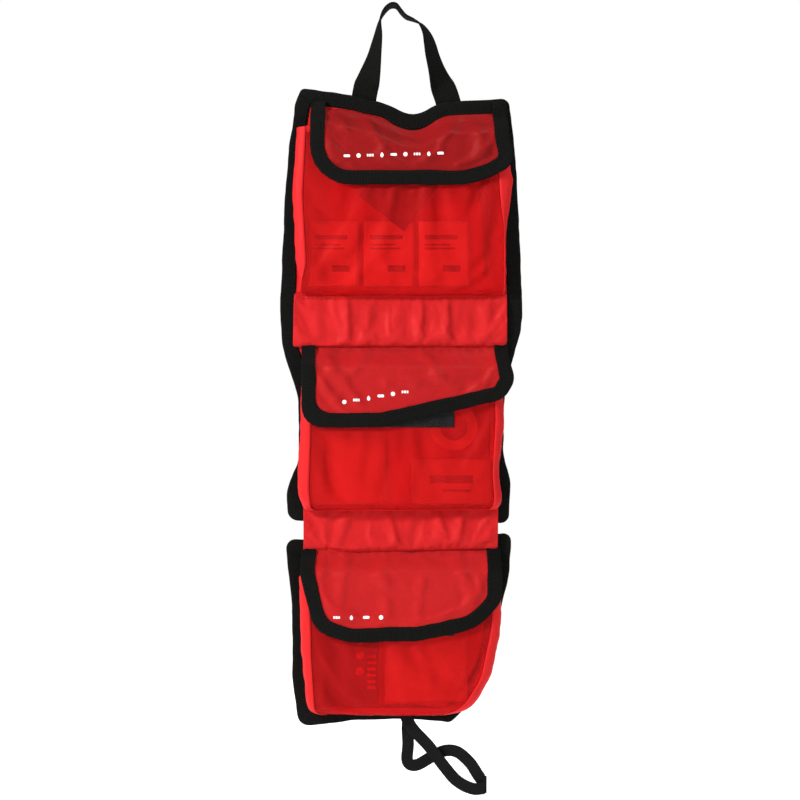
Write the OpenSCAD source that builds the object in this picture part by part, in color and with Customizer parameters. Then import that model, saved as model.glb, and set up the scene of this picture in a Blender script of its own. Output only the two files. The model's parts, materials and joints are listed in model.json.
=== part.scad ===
// Hanging roll-up first aid kit: three pages with flapped, gusseted pockets.
// Millimetres. +Z is up, -Y is the front, and the origin is the point that the
// carry handle hangs from.

/* [Pages] */
// Height from the hang point down to the top hem
hang_drop = 70; // [66:1:74]
// Height of the top page, from its hem to the upper fold
top_page_h = 161; // [155:1:170]
// Height of the spine between the top and middle pages
spine_h = 38.5; // [38:0.5:44]
// Height of the middle page, from the lower fold to its hem
middle_page_h = 142.5; // [140:0.5:150]
// Gap between the middle page's hem and the bottom page's top hem
strip_gap = 10; // [9:0.5:14]
// Height of the bottom page
bottom_page_h = 150; // [146:1:160]
// Width across the spine, the widest place
spine_w = 192; // [190:1:200]
// Width of the top hem
hem_w = 166; // [160:1:172]
// Width of the middle page at its waist
waist_w = 166; // [164:1:172]
// Width of the middle page's hem and of the bottom page's top hem
foot_w = 179; // [176:1:184]
// Sideways place of the pages' middle from the hang point
kit_x = 5; // [0:1:8]

/* [Fabric] */
// Thickness of the red lining
lining_t = 0.7; // [0.5:0.1:0.8]
// Thickness of the outer cover with its stiffener
cover_t = 0.8; // [0.6:0.1:1]
// Width of the binding tape that shows on each face
tape_w = 12; // [9:0.5:13]
// Thickness of each layer of the binding tape
tape_t = 0.8; // [0.5:0.1:1]

/* [Pockets] */
// Depth of the gussets
pocket_d = 15; // [12:0.5:16]
// Thickness of the pocket fabric
pocket_t = 0.8; // [0.6:0.1:1]
// Widths of the top, middle and bottom pockets
pocket_ws = [168, 160, 160];
// Height of the mouth of each pocket below its flap's seam
mouth_drop = 21.5; // [21:0.5:24]

/* [Flaps] */
// Lengths of the top, middle and bottom flaps, seam to edge
flap_hs = [67, 65, 74];
// Width of the flaps
flap_w = 160; // [150:1:162]
// Radius of the flaps' lower corners
flap_r = 18; // [10:1:24]
// Width and height of each hook patch
hook_patch = [84, 16];
// Width and height of each loop patch
loop_patch = [84, 20];

/* [Straps] */
// Width of the carry handle's webbing
handle_w = 20; // [18:1:25]
// Thickness of the carry handle's webbing
handle_t = 1.6; // [1.2:0.1:2]
// Width of the elastic loop's tape
elastic_w = 9.5; // [8:0.5:12]
// Thickness of the elastic loop's tape
elastic_t = 1; // [0.8:0.1:1.2]

/* [Hidden] */

RED = [0.82, 0.10, 0.12];
DEEP_RED = [0.66, 0.06, 0.08];
BLACK = [0.07, 0.07, 0.07];
WHITE = [0.92, 0.92, 0.90];

sheet_t = lining_t + cover_t;     // lining and cover together
front_y = -tape_t;                // front face of the binding
back_y = sheet_t + tape_t;        // back face of the binding
fold_y = front_y - 0.1;           // axis of the two folds that close to the front
fold_gap = 0.4;                   // clearance on each side of a fold
panel_inset = 1.2;                // how far the sheets stop inside the tape

hem_z = -hang_drop;
fold_a_z = hem_z - top_page_h;
fold_b_z = fold_a_z - spine_h;
middle_hem_z = fold_b_z - middle_page_h;
bottom_top_z = middle_hem_z - strip_gap;
bottom_hem_z = bottom_top_z - bottom_page_h;

// Each page edge is a list of [half width, height], from its top to its bottom
fold_a_w = (hem_w + 12 * spine_w) / 13;
TOP_EDGE = [[hem_w / 2, hem_z], [fold_a_w / 2, fold_a_z + fold_gap]];
SPINE_EDGE = [[fold_a_w / 2, fold_a_z - fold_gap], [spine_w / 2, fold_b_z + fold_gap]];
MIDDLE_EDGE = [
    [spine_w / 2, fold_b_z - fold_gap], [spine_w / 2 - 3, fold_b_z - 20],
    [waist_w / 2, fold_b_z - 48], [waist_w / 2, middle_hem_z + 37],
    [foot_w / 2, middle_hem_z + 14], [foot_w / 2, middle_hem_z]
];
BOTTOM_EDGE = [
    [foot_w / 2, bottom_top_z], [foot_w / 2 - 4.5, bottom_hem_z + 72],
    [foot_w / 2 - 5.5, bottom_hem_z]
];

// Seams that the flaps hang from, and the foot of each pocket
flap_zs = [hem_z - 5, fold_b_z - 1.5, bottom_top_z - 11];
pocket_feet = [fold_a_z + 1.5, middle_hem_z + 10.5, bottom_hem_z + 5];
pocket_y = front_y - pocket_d;            // inner face of a pocket's front
pocket_face = pocket_y - pocket_t;        // outer face of a pocket's front
flap_t = 0.8;
flap_tape_t = 0.5;                        // tape standing proud of a flap
flap_y = pocket_face - 2.4;               // middle of a closed flap
flap_seam_y = front_y - 1.2;              // middle of a flap at its seam
flap_slope = 20;                          // height of a flap's sloping top
loop_t = 0.7;                             // thickness of a loop patch
hook_t = 0.9;                             // thickness of a hook patch

// Carry handle: [x, z] along the webbing, then its twist from facing front
HANDLE_ROUTE = [
    [-24, -67.6, 0], [-23, -63, 0], [-21, -56, 24], [-17, -40, 54], [-14, -24, 70], [-12.5, -12, 84],
    [-9, -4, 90], [-4, 0.8, 90], [1, 0.8, 90], [5, -4, 90], [9, -8, 88],
    [15, -10.5, 84], [21, -14, 80], [26, -20, 76], [29, -28, 72], [30, -40, 62],
    [34, -52, 46], [36.4, -57, 18], [38.6, -62, 0], [40, -66, 0]
];
handle_base_y = back_y + 1.2;             // the webbing starts behind the hem
handle_flat_h = 62;                       // below this height it hangs flat
RIBS = 3;                                 // rings between two route points

// Elastic loop: [x, z] down the rear run, and back up the front run
REAR_RUN = [
    [10, -577], [10.5, -590], [10, -604], [17, -607], [30, -600],
    [40, -595.5], [50, -596.5], [60, -605], [70, -621]
];
FRONT_RUN = [[70, -621], [62, -625], [50, -619], [40, -608], [27, -591], [14, -577]];
REAR_Y = 1.3;
FRONT_Y = -0.9;

function arc(x, z, r, from, to, steps = 6) = [
    for (i = [0:steps]) let (a = from + (to - from) * i / steps)
        [x + r * cos(a), z + r * sin(a)]
];

// One side of a page, inset by side, and by top and low at its two ends
function right_side(edge, r_top, r_low, side, top, low) =
    let (
        n = len(edge) - 1,
        a = max(r_top - side, 0.4),
        b = max(r_low - side, 0.4),
        hi = edge[0][1] - top,
        lo = edge[n][1] + low,
        mid = n < 2 ? [] : [for (i = [1:n - 1]) [edge[i][0] - side, edge[i][1]]]
    )
    concat(
        arc(edge[0][0] - side - a, hi - a, a, 90, 0),
        mid,
        arc(edge[n][0] - side - b, lo + b, b, 0, -90)
    );

function mirrored(points) = [
    for (i = [len(points) - 1:-1:0]) [-points[i][0], points[i][1]]
];

function outline(edge, r_top, r_low, side, top, low) =
    let (right = right_side(edge, r_top, r_low, side, top, low))
    concat(right, mirrored(right));

// Extrudes a shape drawn in X and Z, from its front face to its back face
module slab(front, back)
    translate([kit_x, back, 0]) rotate([90, 0, 0]) linear_extrude(back - front) children();

module page_sheet(edge, radii, ends, front, back)
    slab(front, back)
        polygon(outline(edge, radii[0], radii[1], panel_inset, ends[0] * panel_inset,
                        ends[1] * panel_inset));

// Tape round a page's free edges. ends says which of its top and bottom are free
module page_binding(edge, radii, ends) {
    past = 2;
    difference() {
        slab(front_y, back_y) difference() {
            polygon(outline(edge, radii[0], radii[1], 0, 0, 0));
            polygon(outline(edge, radii[0], radii[1], tape_w,
                            ends[0] > 0 ? tape_w : -past, ends[1] > 0 ? tape_w : -past));
        }
        page_sheet(edge, radii, ends, 0, sheet_t);
    }
}

// Pocket number i: 0 is the top one
function pocket_edge(i) = [
    [pocket_ws[i] / 2, flap_zs[i] - mouth_drop], [pocket_ws[i] / 2, pocket_feet[i]]
];

module pocket_front(i)
    color(RED) slab(pocket_face, pocket_y) polygon(outline(pocket_edge(i), 1, 9, 0, 0, 0));

module pocket_gusset(i)
    color(RED) slab(pocket_y, front_y) difference() {
        polygon(outline(pocket_edge(i), 1, 9, 0, 0, 0));
        polygon(outline(pocket_edge(i), 1, 9, pocket_t, -4, pocket_t));
    }

module loop_tape(i)
    color(BLACK)
        translate([kit_x - loop_patch[0] / 2, pocket_face - loop_t, flap_zs[i] - flap_hs[i]])
            cube([loop_patch[0], loop_t, loop_patch[1]]);

module hook_tape(i)
    color(BLACK)
        translate([kit_x - hook_patch[0] / 2, flap_y + flap_t / 2,
                   flap_zs[i] - flap_hs[i] + tape_w + panel_inset])
            cube([hook_patch[0], hook_t, hook_patch[1]]);

// A flap seen from its side: a slope out to the pocket, then straight down.
// The band runs from near (behind the middle line) to far (in front of it)
module flap_band(i, near, far, w) {
    top = flap_zs[i];
    bend = top - flap_slope;
    foot = top - flap_hs[i];
    run = flap_y - flap_seam_y;
    size = norm([run, flap_slope]);
    n = [-flap_slope, -run] / size;          // out of the slope, to the front and up
    miter = (1 + n[0]) / n[1];               // height of the bend's corner per unit
    function corners(d) = [
        [flap_seam_y, top] + d * n, [flap_y - d, bend + d * miter], [flap_y - d, foot]
    ];
    a = corners(near);
    b = corners(far);
    translate([kit_x - w / 2, 0, 0]) rotate([90, 0, 90]) linear_extrude(w)
        polygon([a[0], a[1], a[2], b[2], b[1], b[0]]);
}

module flap_cut(i, side, top, low)
    slab(-40, 20)
        polygon(outline([[flap_w / 2, flap_zs[i] + 3], [flap_w / 2, flap_zs[i] - flap_hs[i]]],
                        0.4, flap_r, side, top, low));

module flap(i)
    color(RED) intersection() {
        flap_band(i, -flap_t / 2, flap_t / 2, flap_w);
        flap_cut(i, panel_inset, 0, panel_inset);
    }

module flap_binding(i)
    color(BLACK) difference() {
        intersection() {
            flap_band(i, -flap_t / 2 - flap_tape_t, flap_t / 2 + flap_tape_t, flap_w);
            difference() {
                flap_cut(i, 0, 0, 0);
                flap_cut(i, tape_w, -3, tape_w);
            }
        }
        intersection() {
            flap_band(i, -flap_t / 2, flap_t / 2, flap_w + 2);
            flap_cut(i, panel_inset, -2, panel_inset);
        }
    }

// A flat thing in a pocket: its middle at [x, z], its size [w, t, h] and its turn
module flat_pack(at, size, layer = 0, turn = 0)
    translate([kit_x + at[0], front_y - 0.4 - layer, at[1]]) rotate([0, turn, 0])
        rotate([90, 0, 0]) linear_extrude(size[1]) square([size[0], size[2]], center = true);

// A smooth curve through the handle's route
function bent(p0, p1, p2, p3, f) =
    0.5 * (2 * p1 + (p2 - p0) * f + (2 * p0 - 5 * p1 + 4 * p2 - p3) * f * f
           + (3 * p1 - p0 - 3 * p2 + p3) * f * f * f);

function smooth(route, ribs) =
    let (n = len(route) - 1)
    concat(
        [for (i = [0:n - 1], k = [0:ribs - 1])
            bent(route[max(i - 1, 0)], route[i], route[i + 1], route[min(i + 2, n)], k / ribs)],
        [route[n]]
    );

// The webbing comes forward from behind the hem to the middle as it rises
function handle_y(z) =
    let (f = min(max(-z / handle_flat_h, 0), 1))
    handle_base_y * f * f * (3 - 2 * f);

function ring(line, i) =
    let (
        n = len(line) - 1,
        p = line[i],
        d = line[min(i + 1, n)] - line[max(i - 1, 0)],
        t = [d[0], d[1]] / norm([d[0], d[1]]),
        across = [-t[1] * cos(p[2]), sin(p[2]), t[0] * cos(p[2])] * handle_w / 2,
        through = [t[1] * sin(p[2]), cos(p[2]), -t[0] * sin(p[2])] * handle_t / 2,
        at = [p[0], handle_y(p[1]), p[1]]
    )
    [at - across - through, at + across - through, at + across + through, at - across + through];

module carry_handle() {
    line = smooth(HANDLE_ROUTE, RIBS);
    n = len(line);
    points = [for (i = [0:n - 1]) each ring(line, i)];
    sides = [for (i = [0:n - 2], k = [0:3]) each [
        [4 * i + k, 4 * i + (k + 1) % 4, 4 * i + 4 + (k + 1) % 4],
        [4 * i + k, 4 * i + 4 + (k + 1) % 4, 4 * i + 4 + k]
    ]];
    last = 4 * n - 4;
    ends = [[0, 2, 1], [0, 3, 2], [last, last + 1, last + 2], [last, last + 2, last + 3]];
    color(BLACK) polyhedron(points, concat(sides, ends));
}

module top_cover() color(BLACK) page_sheet(TOP_EDGE, [8, 0.4], [1, 0], lining_t, sheet_t);
module top_lining() color(RED) page_sheet(TOP_EDGE, [8, 0.4], [1, 0], 0, lining_t);
module top_binding() color(BLACK) page_binding(TOP_EDGE, [8, 0.4], [1, 0]);
module top_pocket_front() pocket_front(0);
module top_pocket_gusset() pocket_gusset(0);
module top_loop_tape() loop_tape(0);
module top_flap() flap(0);
module top_flap_binding() flap_binding(0);
module top_hook_tape() hook_tape(0);

module spine_cover() color(BLACK) page_sheet(SPINE_EDGE, [0.4, 0.4], [0, 0], lining_t, sheet_t);
module spine_lining() color(RED) page_sheet(SPINE_EDGE, [0.4, 0.4], [0, 0], 0, lining_t);
module spine_binding() color(BLACK) page_binding(SPINE_EDGE, [0.4, 0.4], [0, 0]);

module middle_cover() color(BLACK) page_sheet(MIDDLE_EDGE, [0.4, 8], [0, 1], lining_t, sheet_t);
module middle_lining() color(RED) page_sheet(MIDDLE_EDGE, [0.4, 8], [0, 1], 0, lining_t);
module middle_binding() color(BLACK) page_binding(MIDDLE_EDGE, [0.4, 8], [0, 1]);
module middle_pocket_front() pocket_front(1);
module middle_pocket_gusset() pocket_gusset(1);
module middle_loop_tape() loop_tape(1);
module middle_flap() flap(1);
module middle_flap_binding() flap_binding(1);
module middle_hook_tape() hook_tape(1);

// The red strip that joins the bottom page to the middle one
module joining_strip() {
    strip_w = 155;
    color(RED) slab(-0.2, 0.6)
        polygon(outline([[strip_w / 2, middle_hem_z - fold_gap], [strip_w / 2, bottom_top_z + fold_gap]],
                        0.4, 0.4, 0, 0, 0));
}

module bottom_cover() color(BLACK) page_sheet(BOTTOM_EDGE, [8, 12], [1, 1], lining_t, sheet_t);
module bottom_lining() color(RED) page_sheet(BOTTOM_EDGE, [8, 12], [1, 1], 0, lining_t);
module bottom_binding() color(BLACK) page_binding(BOTTOM_EDGE, [8, 12], [1, 1]);
module bottom_pocket_front() pocket_front(2);
module bottom_pocket_gusset() pocket_gusset(2);
module bottom_loop_tape() loop_tape(2);
module bottom_flap() flap(2);
module bottom_flap_binding() flap_binding(2);
module bottom_hook_tape() hook_tape(2);

// Three sachets of tablets side by side
module medicine_packets()
    color(WHITE) for (i = [0:2])
        flat_pack([-54 + 44 * i, pocket_feet[0] + 32], [40, 2.6, 52]);

// A dark card of tablets that stands on its corner behind the sachets' upper edge
module blister_card() color(BLACK) flat_pack([-2, pocket_feet[0] + 82], [46, 1.6, 46], 3, 38);

// Two sprung arms joined at their head, points down
module tweezers() {
    head_z = pocket_feet[0] + 100;
    arm_h = 86;
    color("silver") translate([kit_x + 68, front_y - 0.4, head_z]) rotate([90, 0, 0])
        linear_extrude(2.4) union() {
            translate([-5, -5]) square([10, 9]);
            polygon([[-5, -3], [-1.5, -3], [-0.6, -arm_h], [-1.8, -arm_h]]);
            polygon([[5, -3], [1.5, -3], [0.6, -arm_h], [1.8, -arm_h]]);
        }
}

// Wrapped gauze pads in two overlapping stacks
module gauze_pads()
    color(WHITE) {
        flat_pack([-44, pocket_feet[1] + 34], [62, 5, 60]);
        flat_pack([-40, pocket_feet[1] + 80], [70, 3.2, 26]);
    }

// A rolled bandage, pressed flat as it is packed
module bandage_roll() {
    roll_w = 64;
    roll_t = 7;
    roll_h = 36;
    color(WHITE) translate([kit_x + 40 - roll_w / 2, front_y - 0.4 - roll_t / 2, pocket_feet[1] + 22])
        rotate([90, 0, 90]) linear_extrude(roll_w) {
            square([roll_t, roll_h - roll_t], center = true);
            for (side = [-1, 1])
                translate([0, side * (roll_h - roll_t) / 2]) circle(d = roll_t, $fn = 32);
        }
}

// A roll of surgical tape lying flat
module tape_roll()
    color(WHITE) translate([kit_x + 42, front_y - 0.4, pocket_feet[1] + 66]) rotate([90, 0, 0])
        linear_extrude(7) difference() {
            circle(r = 19, $fn = 64);
            circle(r = 11, $fn = 64);
        }

// A pair of gloves folded in a flat pouch
module glove_pouch() color(WHITE) flat_pack([30, pocket_feet[2] + 46], [86, 6, 84]);

// A folded information card
module info_card() color(DEEP_RED) flat_pack([-46, pocket_feet[2] + 44], [56, 2, 80]);

function heading(points, i) =
    let (d = points[min(i + 1, len(points) - 1)] - points[max(i, 0)])
    d / norm(d);

// A point on the edge of a flat tape, mitred where the tape turns
function tape_edge(points, i, side) =
    let (
        n = len(points) - 1,
        a = heading(points, max(i - 1, 0)),
        b = heading(points, min(i, n - 1)),
        t = (a + b) / norm(a + b),
        reach = side * elastic_w / 2 / (t * b)
    )
    points[i] + [-t[1], t[0]] * reach;

// One flat run of the elastic tape
module elastic_run(points, y) {
    n = len(points) - 1;
    translate([0, y + elastic_t / 2, 0]) rotate([90, 0, 0]) linear_extrude(elastic_t)
        polygon(concat([for (i = [0:n]) tape_edge(points, i, 1)],
                       [for (i = [n:-1:0]) tape_edge(points, i, -1)]));
}

module elastic_loop() {
    turn = REAR_RUN[len(REAR_RUN) - 1];
    depth = REAR_Y - FRONT_Y + elastic_t;
    tab = [12, depth, 9];
    tab_gap = 2.2;
    color(BLACK) union() {
        elastic_run(REAR_RUN, REAR_Y);
        elastic_run(FRONT_RUN, FRONT_Y);
        translate([turn[0], REAR_Y + elastic_t / 2, turn[1]]) rotate([90, 0, 0])
            cylinder(h = depth, d = elastic_w - 2, $fn = 32);
        translate([REAR_RUN[0][0] - 5, FRONT_Y - elastic_t / 2, bottom_hem_z - tab_gap - tab[2]])
            cube(tab);
    }
}

carry_handle();
top_cover();
top_lining();
top_binding();
top_pocket_front();
top_pocket_gusset();
top_loop_tape();
medicine_packets();
blister_card();
tweezers();
top_flap();
top_flap_binding();
top_hook_tape();
spine_cover();
spine_lining();
spine_binding();
middle_cover();
middle_lining();
middle_binding();
middle_pocket_front();
middle_pocket_gusset();
middle_loop_tape();
gauze_pads();
bandage_roll();
tape_roll();
middle_flap();
middle_flap_binding();
middle_hook_tape();
joining_strip();
bottom_cover();
bottom_lining();
bottom_binding();
bottom_pocket_front();
bottom_pocket_gusset();
bottom_loop_tape();
glove_pouch();
info_card();
bottom_flap();
bottom_flap_binding();
bottom_hook_tape();
elastic_loop();
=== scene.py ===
import json
import math
import random

import bmesh
import bpy
import numpy as np
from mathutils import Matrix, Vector
from mathutils.bvhtree import BVHTree


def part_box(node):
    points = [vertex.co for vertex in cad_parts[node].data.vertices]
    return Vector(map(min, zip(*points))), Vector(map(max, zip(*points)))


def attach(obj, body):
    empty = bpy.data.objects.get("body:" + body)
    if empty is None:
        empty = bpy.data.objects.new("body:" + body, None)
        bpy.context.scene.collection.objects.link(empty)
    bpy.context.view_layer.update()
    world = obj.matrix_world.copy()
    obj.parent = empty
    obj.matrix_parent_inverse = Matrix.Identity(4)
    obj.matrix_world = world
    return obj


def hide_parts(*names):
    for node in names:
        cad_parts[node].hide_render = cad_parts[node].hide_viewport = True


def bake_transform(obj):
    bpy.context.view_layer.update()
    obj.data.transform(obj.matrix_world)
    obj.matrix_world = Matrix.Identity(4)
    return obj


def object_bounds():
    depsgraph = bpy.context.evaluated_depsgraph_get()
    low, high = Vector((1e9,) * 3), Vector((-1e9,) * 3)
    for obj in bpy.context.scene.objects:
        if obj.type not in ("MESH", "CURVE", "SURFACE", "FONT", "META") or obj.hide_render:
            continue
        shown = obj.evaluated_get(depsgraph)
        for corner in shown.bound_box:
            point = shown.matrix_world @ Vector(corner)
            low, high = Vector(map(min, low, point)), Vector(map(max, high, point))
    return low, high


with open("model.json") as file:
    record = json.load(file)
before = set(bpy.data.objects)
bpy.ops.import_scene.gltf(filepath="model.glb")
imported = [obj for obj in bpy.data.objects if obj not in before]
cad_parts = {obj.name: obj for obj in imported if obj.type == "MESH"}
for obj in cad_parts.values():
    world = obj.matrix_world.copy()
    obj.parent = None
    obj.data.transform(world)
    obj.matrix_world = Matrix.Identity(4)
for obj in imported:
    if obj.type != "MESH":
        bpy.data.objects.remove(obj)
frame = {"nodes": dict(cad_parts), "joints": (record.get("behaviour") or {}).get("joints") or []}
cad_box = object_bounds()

# Shapes are worked out in millimetres, in the row frame, and written to meshes in metres.
MM = 0.001


# ---------------------------------------------------------------- places, from the frame

def corners(*nodes):
    """Lowest and highest corner of some CAD nodes together, in millimetres."""
    boxes = [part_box(n) for n in nodes]
    low = np.min([np.array(b[0]) for b in boxes], axis=0) / MM
    high = np.max([np.array(b[1]) for b in boxes], axis=0) / MM
    return low, high


PIVOT = {j["name"]: np.array(j["pos_m"]) / MM for j in frame["joints"]}
TOP_LO, TOP_HI = corners("top_binding")
LOW_LO, LOW_HI = corners("bottom_binding")
KIT_X = (TOP_LO[0] + TOP_HI[0]) / 2
HEM_Z = TOP_HI[2]
FOLD_A = PIVOT["spine_fold"][2]
FOLD_B = PIVOT["middle_page_fold"][2]
BOTTOM_TOP = LOW_HI[2]
FRONT_Y, BACK_Y = TOP_LO[1], TOP_HI[1]
POCKET_Y = corners("top_pocket_front")[0][1]
FLAP_Y = corners("top_flap")[0][1]
TAPE_W = 12.0
PAGES = ("top", "middle", "bottom")
SEAM_Z = [PIVOT[f"{p}_flap_lift"][2] for p in PAGES]


EYE = np.array([4.0, -1511.0, -314.4])  # where the camera stands
# How far out along Y the flaps, the pockets' fronts and their gussets' bulges are
NEAR_FLAP, NEAR_FRONT, NEAR_BULGE = -19, -15, -11


def placed(points, z0, near=0.0):
    s = 1 - near / EYE[1]
    return [(EYE[0] + (KIT_X + x - EYE[0]) * s, EYE[2] + (z0 + z - EYE[2]) * s, r)
            for x, z, r in points]


# ---------------------------------------------------------------- curves and patches

def unit(v):
    return v / max(np.linalg.norm(v), 1e-9)


def smooth_step(t):
    t = np.clip(t, 0, 1)
    return t * t * (3 - 2 * t)


def rounded(points, inset=0.0, like=None, step=3.0, arc_steps=7):
    """A closed clockwise outline with rounded corners, moved inward by inset, and the places of
    its corners' middles. It has the same number of points at any inset, or as the outline like."""
    base = np.array([p[:2] for p in points], float)
    sized = np.array([p[:2] for p in like or points], float)
    n = len(base)
    along = [unit(base[(i + 1) % n] - base[i]) for i in range(n)]
    inward = [np.array([d[1], -d[0]]) for d in along]
    moved = [base[i] + inset * (inward[i - 1] + inward[i]) / (1 + inward[i - 1] @ inward[i])
             for i in range(n)]
    cuts = []
    for i in range(n):
        a, b = along[i - 1], along[i]
        turn = math.atan2(a[0] * b[1] - a[1] * b[0], a @ b)
        radius = max(points[i][2] - inset, 0.4) if turn < 0 else points[i][2] + inset
        room = min(np.linalg.norm(moved[i] - moved[i - 1]),
                   np.linalg.norm(moved[(i + 1) % n] - moved[i]))
        reach = min(radius * math.tan(abs(turn) / 2), 0.48 * room)
        cuts.append((moved[i] - a * reach, moved[i], moved[i] + b * reach, math.cos(turn / 2)))
    line, marks = [], []
    for i in range(n):
        start, corner, end, w = cuts[i]
        for k in range(arc_steps):
            s = k / (arc_steps - 1)
            parts = np.array([(1 - s) ** 2, 2 * s * (1 - s) * w, s * s])
            if k == arc_steps // 2:
                marks.append(len(line))
            line.append((parts[:, None] * np.array([start, corner, end])).sum(0) / parts.sum())
        count = max(1, round(np.linalg.norm(sized[(i + 1) % n] - sized[i]) / step))
        after = cuts[(i + 1) % n][0]
        line += [end + (after - end) * k / count for k in range(1, count)]
    return np.array(line), marks


def run_along(line):
    """The distance run from a line's start to each of its points."""
    return np.concatenate([[0], np.cumsum(np.linalg.norm(np.diff(line, axis=0), axis=1))])


def stretch(line, count):
    """The same line with count points, evenly spaced."""
    run = run_along(line)
    want = np.linspace(0, run[-1], count)
    return np.stack([np.interp(want, run, line[:, k]) for k in range(line.shape[1])], axis=1)


def part_of(line, start, end):
    """Points of a closed line from start round to end."""
    if end < start:
        return np.concatenate([line[start:], line[:end + 1]])
    return line[start:end + 1]


def patch(line, marks, sides, rows, cols):
    """A grid that fills an outline between four of its corners: top left, top right, bottom
    right and bottom left. Row 0 is the top."""
    a, b, c, d = (marks[k] for k in sides)
    top, right = stretch(part_of(line, a, b), cols), stretch(part_of(line, b, c), rows)
    low = stretch(part_of(line, c, d), cols)[::-1]
    left = stretch(part_of(line, d, a), rows)[::-1]
    u = np.linspace(0, 1, cols)[None, :, None]
    v = np.linspace(0, 1, rows)[:, None, None]
    flat = (1 - v) * ((1 - u) * top[0] + u * top[-1]) + v * ((1 - u) * low[0] + u * low[-1])
    return (1 - v) * top[None] + v * low[None] + (1 - u) * left[:, None] + u * right[:, None] - flat


def lift(flat, y):
    """Puts a flat grid of (x, z) at depths y."""
    return np.stack([flat[..., 0], np.broadcast_to(y, flat.shape[:-1]), flat[..., 1]], axis=-1)


def curve_through(points, ribs):
    """A smooth line through a few given points."""
    p = np.array(points, float)
    n = len(p) - 1
    line = []
    for i in range(n):
        p0, p1, p2, p3 = p[max(i - 1, 0)], p[i], p[i + 1], p[min(i + 2, n)]
        for k in range(ribs):
            f = k / ribs
            line.append(0.5 * (2 * p1 + (p2 - p0) * f + (2 * p0 - 5 * p1 + 4 * p2 - p3) * f * f
                               + (3 * p1 - p0 - 3 * p2 + p3) * f ** 3))
    return np.array(line + [p[n]])


def waves(x, z, size, seed, octaves=3):
    """Smooth random relief, about -1 to 1, from sums of slanted sines."""
    rng = random.Random(seed)
    total, weight = 0.0, 0.0
    for k in range(octaves):
        for _ in range(3):
            angle, phase = rng.uniform(0, math.tau), rng.uniform(0, math.tau)
            f = math.tau / (size / 1.9 ** k)
            total = total + np.sin(f * (x * math.cos(angle) + z * math.sin(angle)) + phase) / 1.9 ** k
            weight += 1 / 1.9 ** k
    return total / weight * 1.8


def crumple(x, z, size, seed):
    """Relief of creased nylon: soft swells with sharper ridges between flatter facets."""
    ridge = 0.45 - np.abs(waves(x, z, size * 1.7, seed + 7, 2))
    return 0.5 * waves(x, z, size, seed) + 1.2 * ridge


def folds(x, z, ridges):
    """Relief towards the front of listed folds [(x0, z0, x1, z1, width, height)]."""
    total = np.zeros_like(x)
    for x0, z0, x1, z1, width, height in ridges:
        d = np.array([x1 - x0, z1 - z0])
        length = np.linalg.norm(d)
        d = d / length
        run = (x - x0) * d[0] + (z - z0) * d[1]
        off = (x - x0) * d[1] - (z - z0) * d[0]
        ends = smooth_step((run + 0.2 * length) / (0.35 * length)) * smooth_step(
            (1.2 * length - run) / (0.35 * length))
        side = np.where(off > 0, width, 0.6 * width)
        total = total + height * np.exp(-(off / side) ** 2) * ends
    return total


def sway(x, z):
    """How far the pages wander from flat, in millimetres."""
    return 0.7 * waves(x, z, 150, 11, 2)


# ---------------------------------------------------------------- meshes

def in_scene(name, data):
    obj = bpy.data.objects.new(name, data)
    bpy.context.scene.collection.objects.link(obj)
    return obj


def add_mesh(name, points, faces, uvs=None, material=None):
    mesh = bpy.data.meshes.new(name)
    mesh.from_pydata((np.asarray(points).reshape(-1, 3) * MM).tolist(), [], faces)
    mesh.polygons.foreach_set("use_smooth", [True] * len(mesh.polygons))
    if uvs is not None:
        layer = mesh.uv_layers.new(name="cloth")
        index = np.zeros(len(mesh.loops), int)
        mesh.loops.foreach_get("vertex_index", index)
        layer.data.foreach_set("uv", (np.asarray(uvs).reshape(-1, 2)[index] * MM).ravel())
    if material:
        mesh.materials.append(material)
    return in_scene(name, mesh)


def grid_faces(rows, cols):
    return [(i * cols + j, i * cols + j + 1, (i + 1) * cols + j + 1, (i + 1) * cols + j)
            for i in range(rows - 1) for j in range(cols - 1)]


def lengths(points, axis):
    """Mean distance run along one axis of a grid, for its UVs."""
    d = np.linalg.norm(np.diff(points, axis=axis), axis=2).mean(axis=1 - axis)
    return np.concatenate([[0], np.cumsum(d)])


def cloth_grid(name, points, material):
    """An open sheet from a grid of points whose row 0 is the top, facing the front."""
    rows, cols = points.shape[:2]
    v, u = np.meshgrid(lengths(points, 0), lengths(points, 1), indexing="ij")
    faces = [f[::-1] for f in grid_faces(rows, cols)]
    return add_mesh(name, points, faces, np.stack([u, v], axis=-1), material)


def sweep(name, rings, material, closed=False):
    """A closed skin through rings of points, with flat ends unless the path is closed."""
    rings = np.asarray(rings, float)
    n, m = rings.shape[:2]
    around = np.concatenate([rings, rings[:, :1]], axis=1)
    v, u = np.meshgrid(lengths(rings, 0), lengths(around, 1)[:m], indexing="ij")
    last = n if closed else n - 1
    faces = [(i * m + j, i * m + (j + 1) % m, (i + 1) % n * m + (j + 1) % m, (i + 1) % n * m + j)
             for i in range(last) for j in range(m)]
    if not closed:
        faces += [tuple(range(m)), tuple(range(n * m - 1, (n - 1) * m - 1, -1))]
    return face_out(add_mesh(name, rings, faces, np.stack([u, v], axis=-1), material))


def changed(mesh, change, target=None):
    """Makes a change to a mesh's BMesh, and puts it in the mesh or in another."""
    bm = bmesh.new()
    bm.from_mesh(mesh)
    change(bm)
    bm.to_mesh(target or mesh)
    bm.free()


def face_out(obj):
    changed(obj.data, lambda bm: bmesh.ops.recalc_face_normals(bm, faces=bm.faces))
    return obj


def bisected(bm, **how):
    """Cuts at a plane, and closes what the cut opens."""
    bmesh.ops.bisect_plane(bm, geom=bm.verts[:] + bm.edges[:] + bm.faces[:], **how)
    bmesh.ops.holes_fill(bm, edges=[e for e in bm.edges if e.is_boundary])


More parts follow.
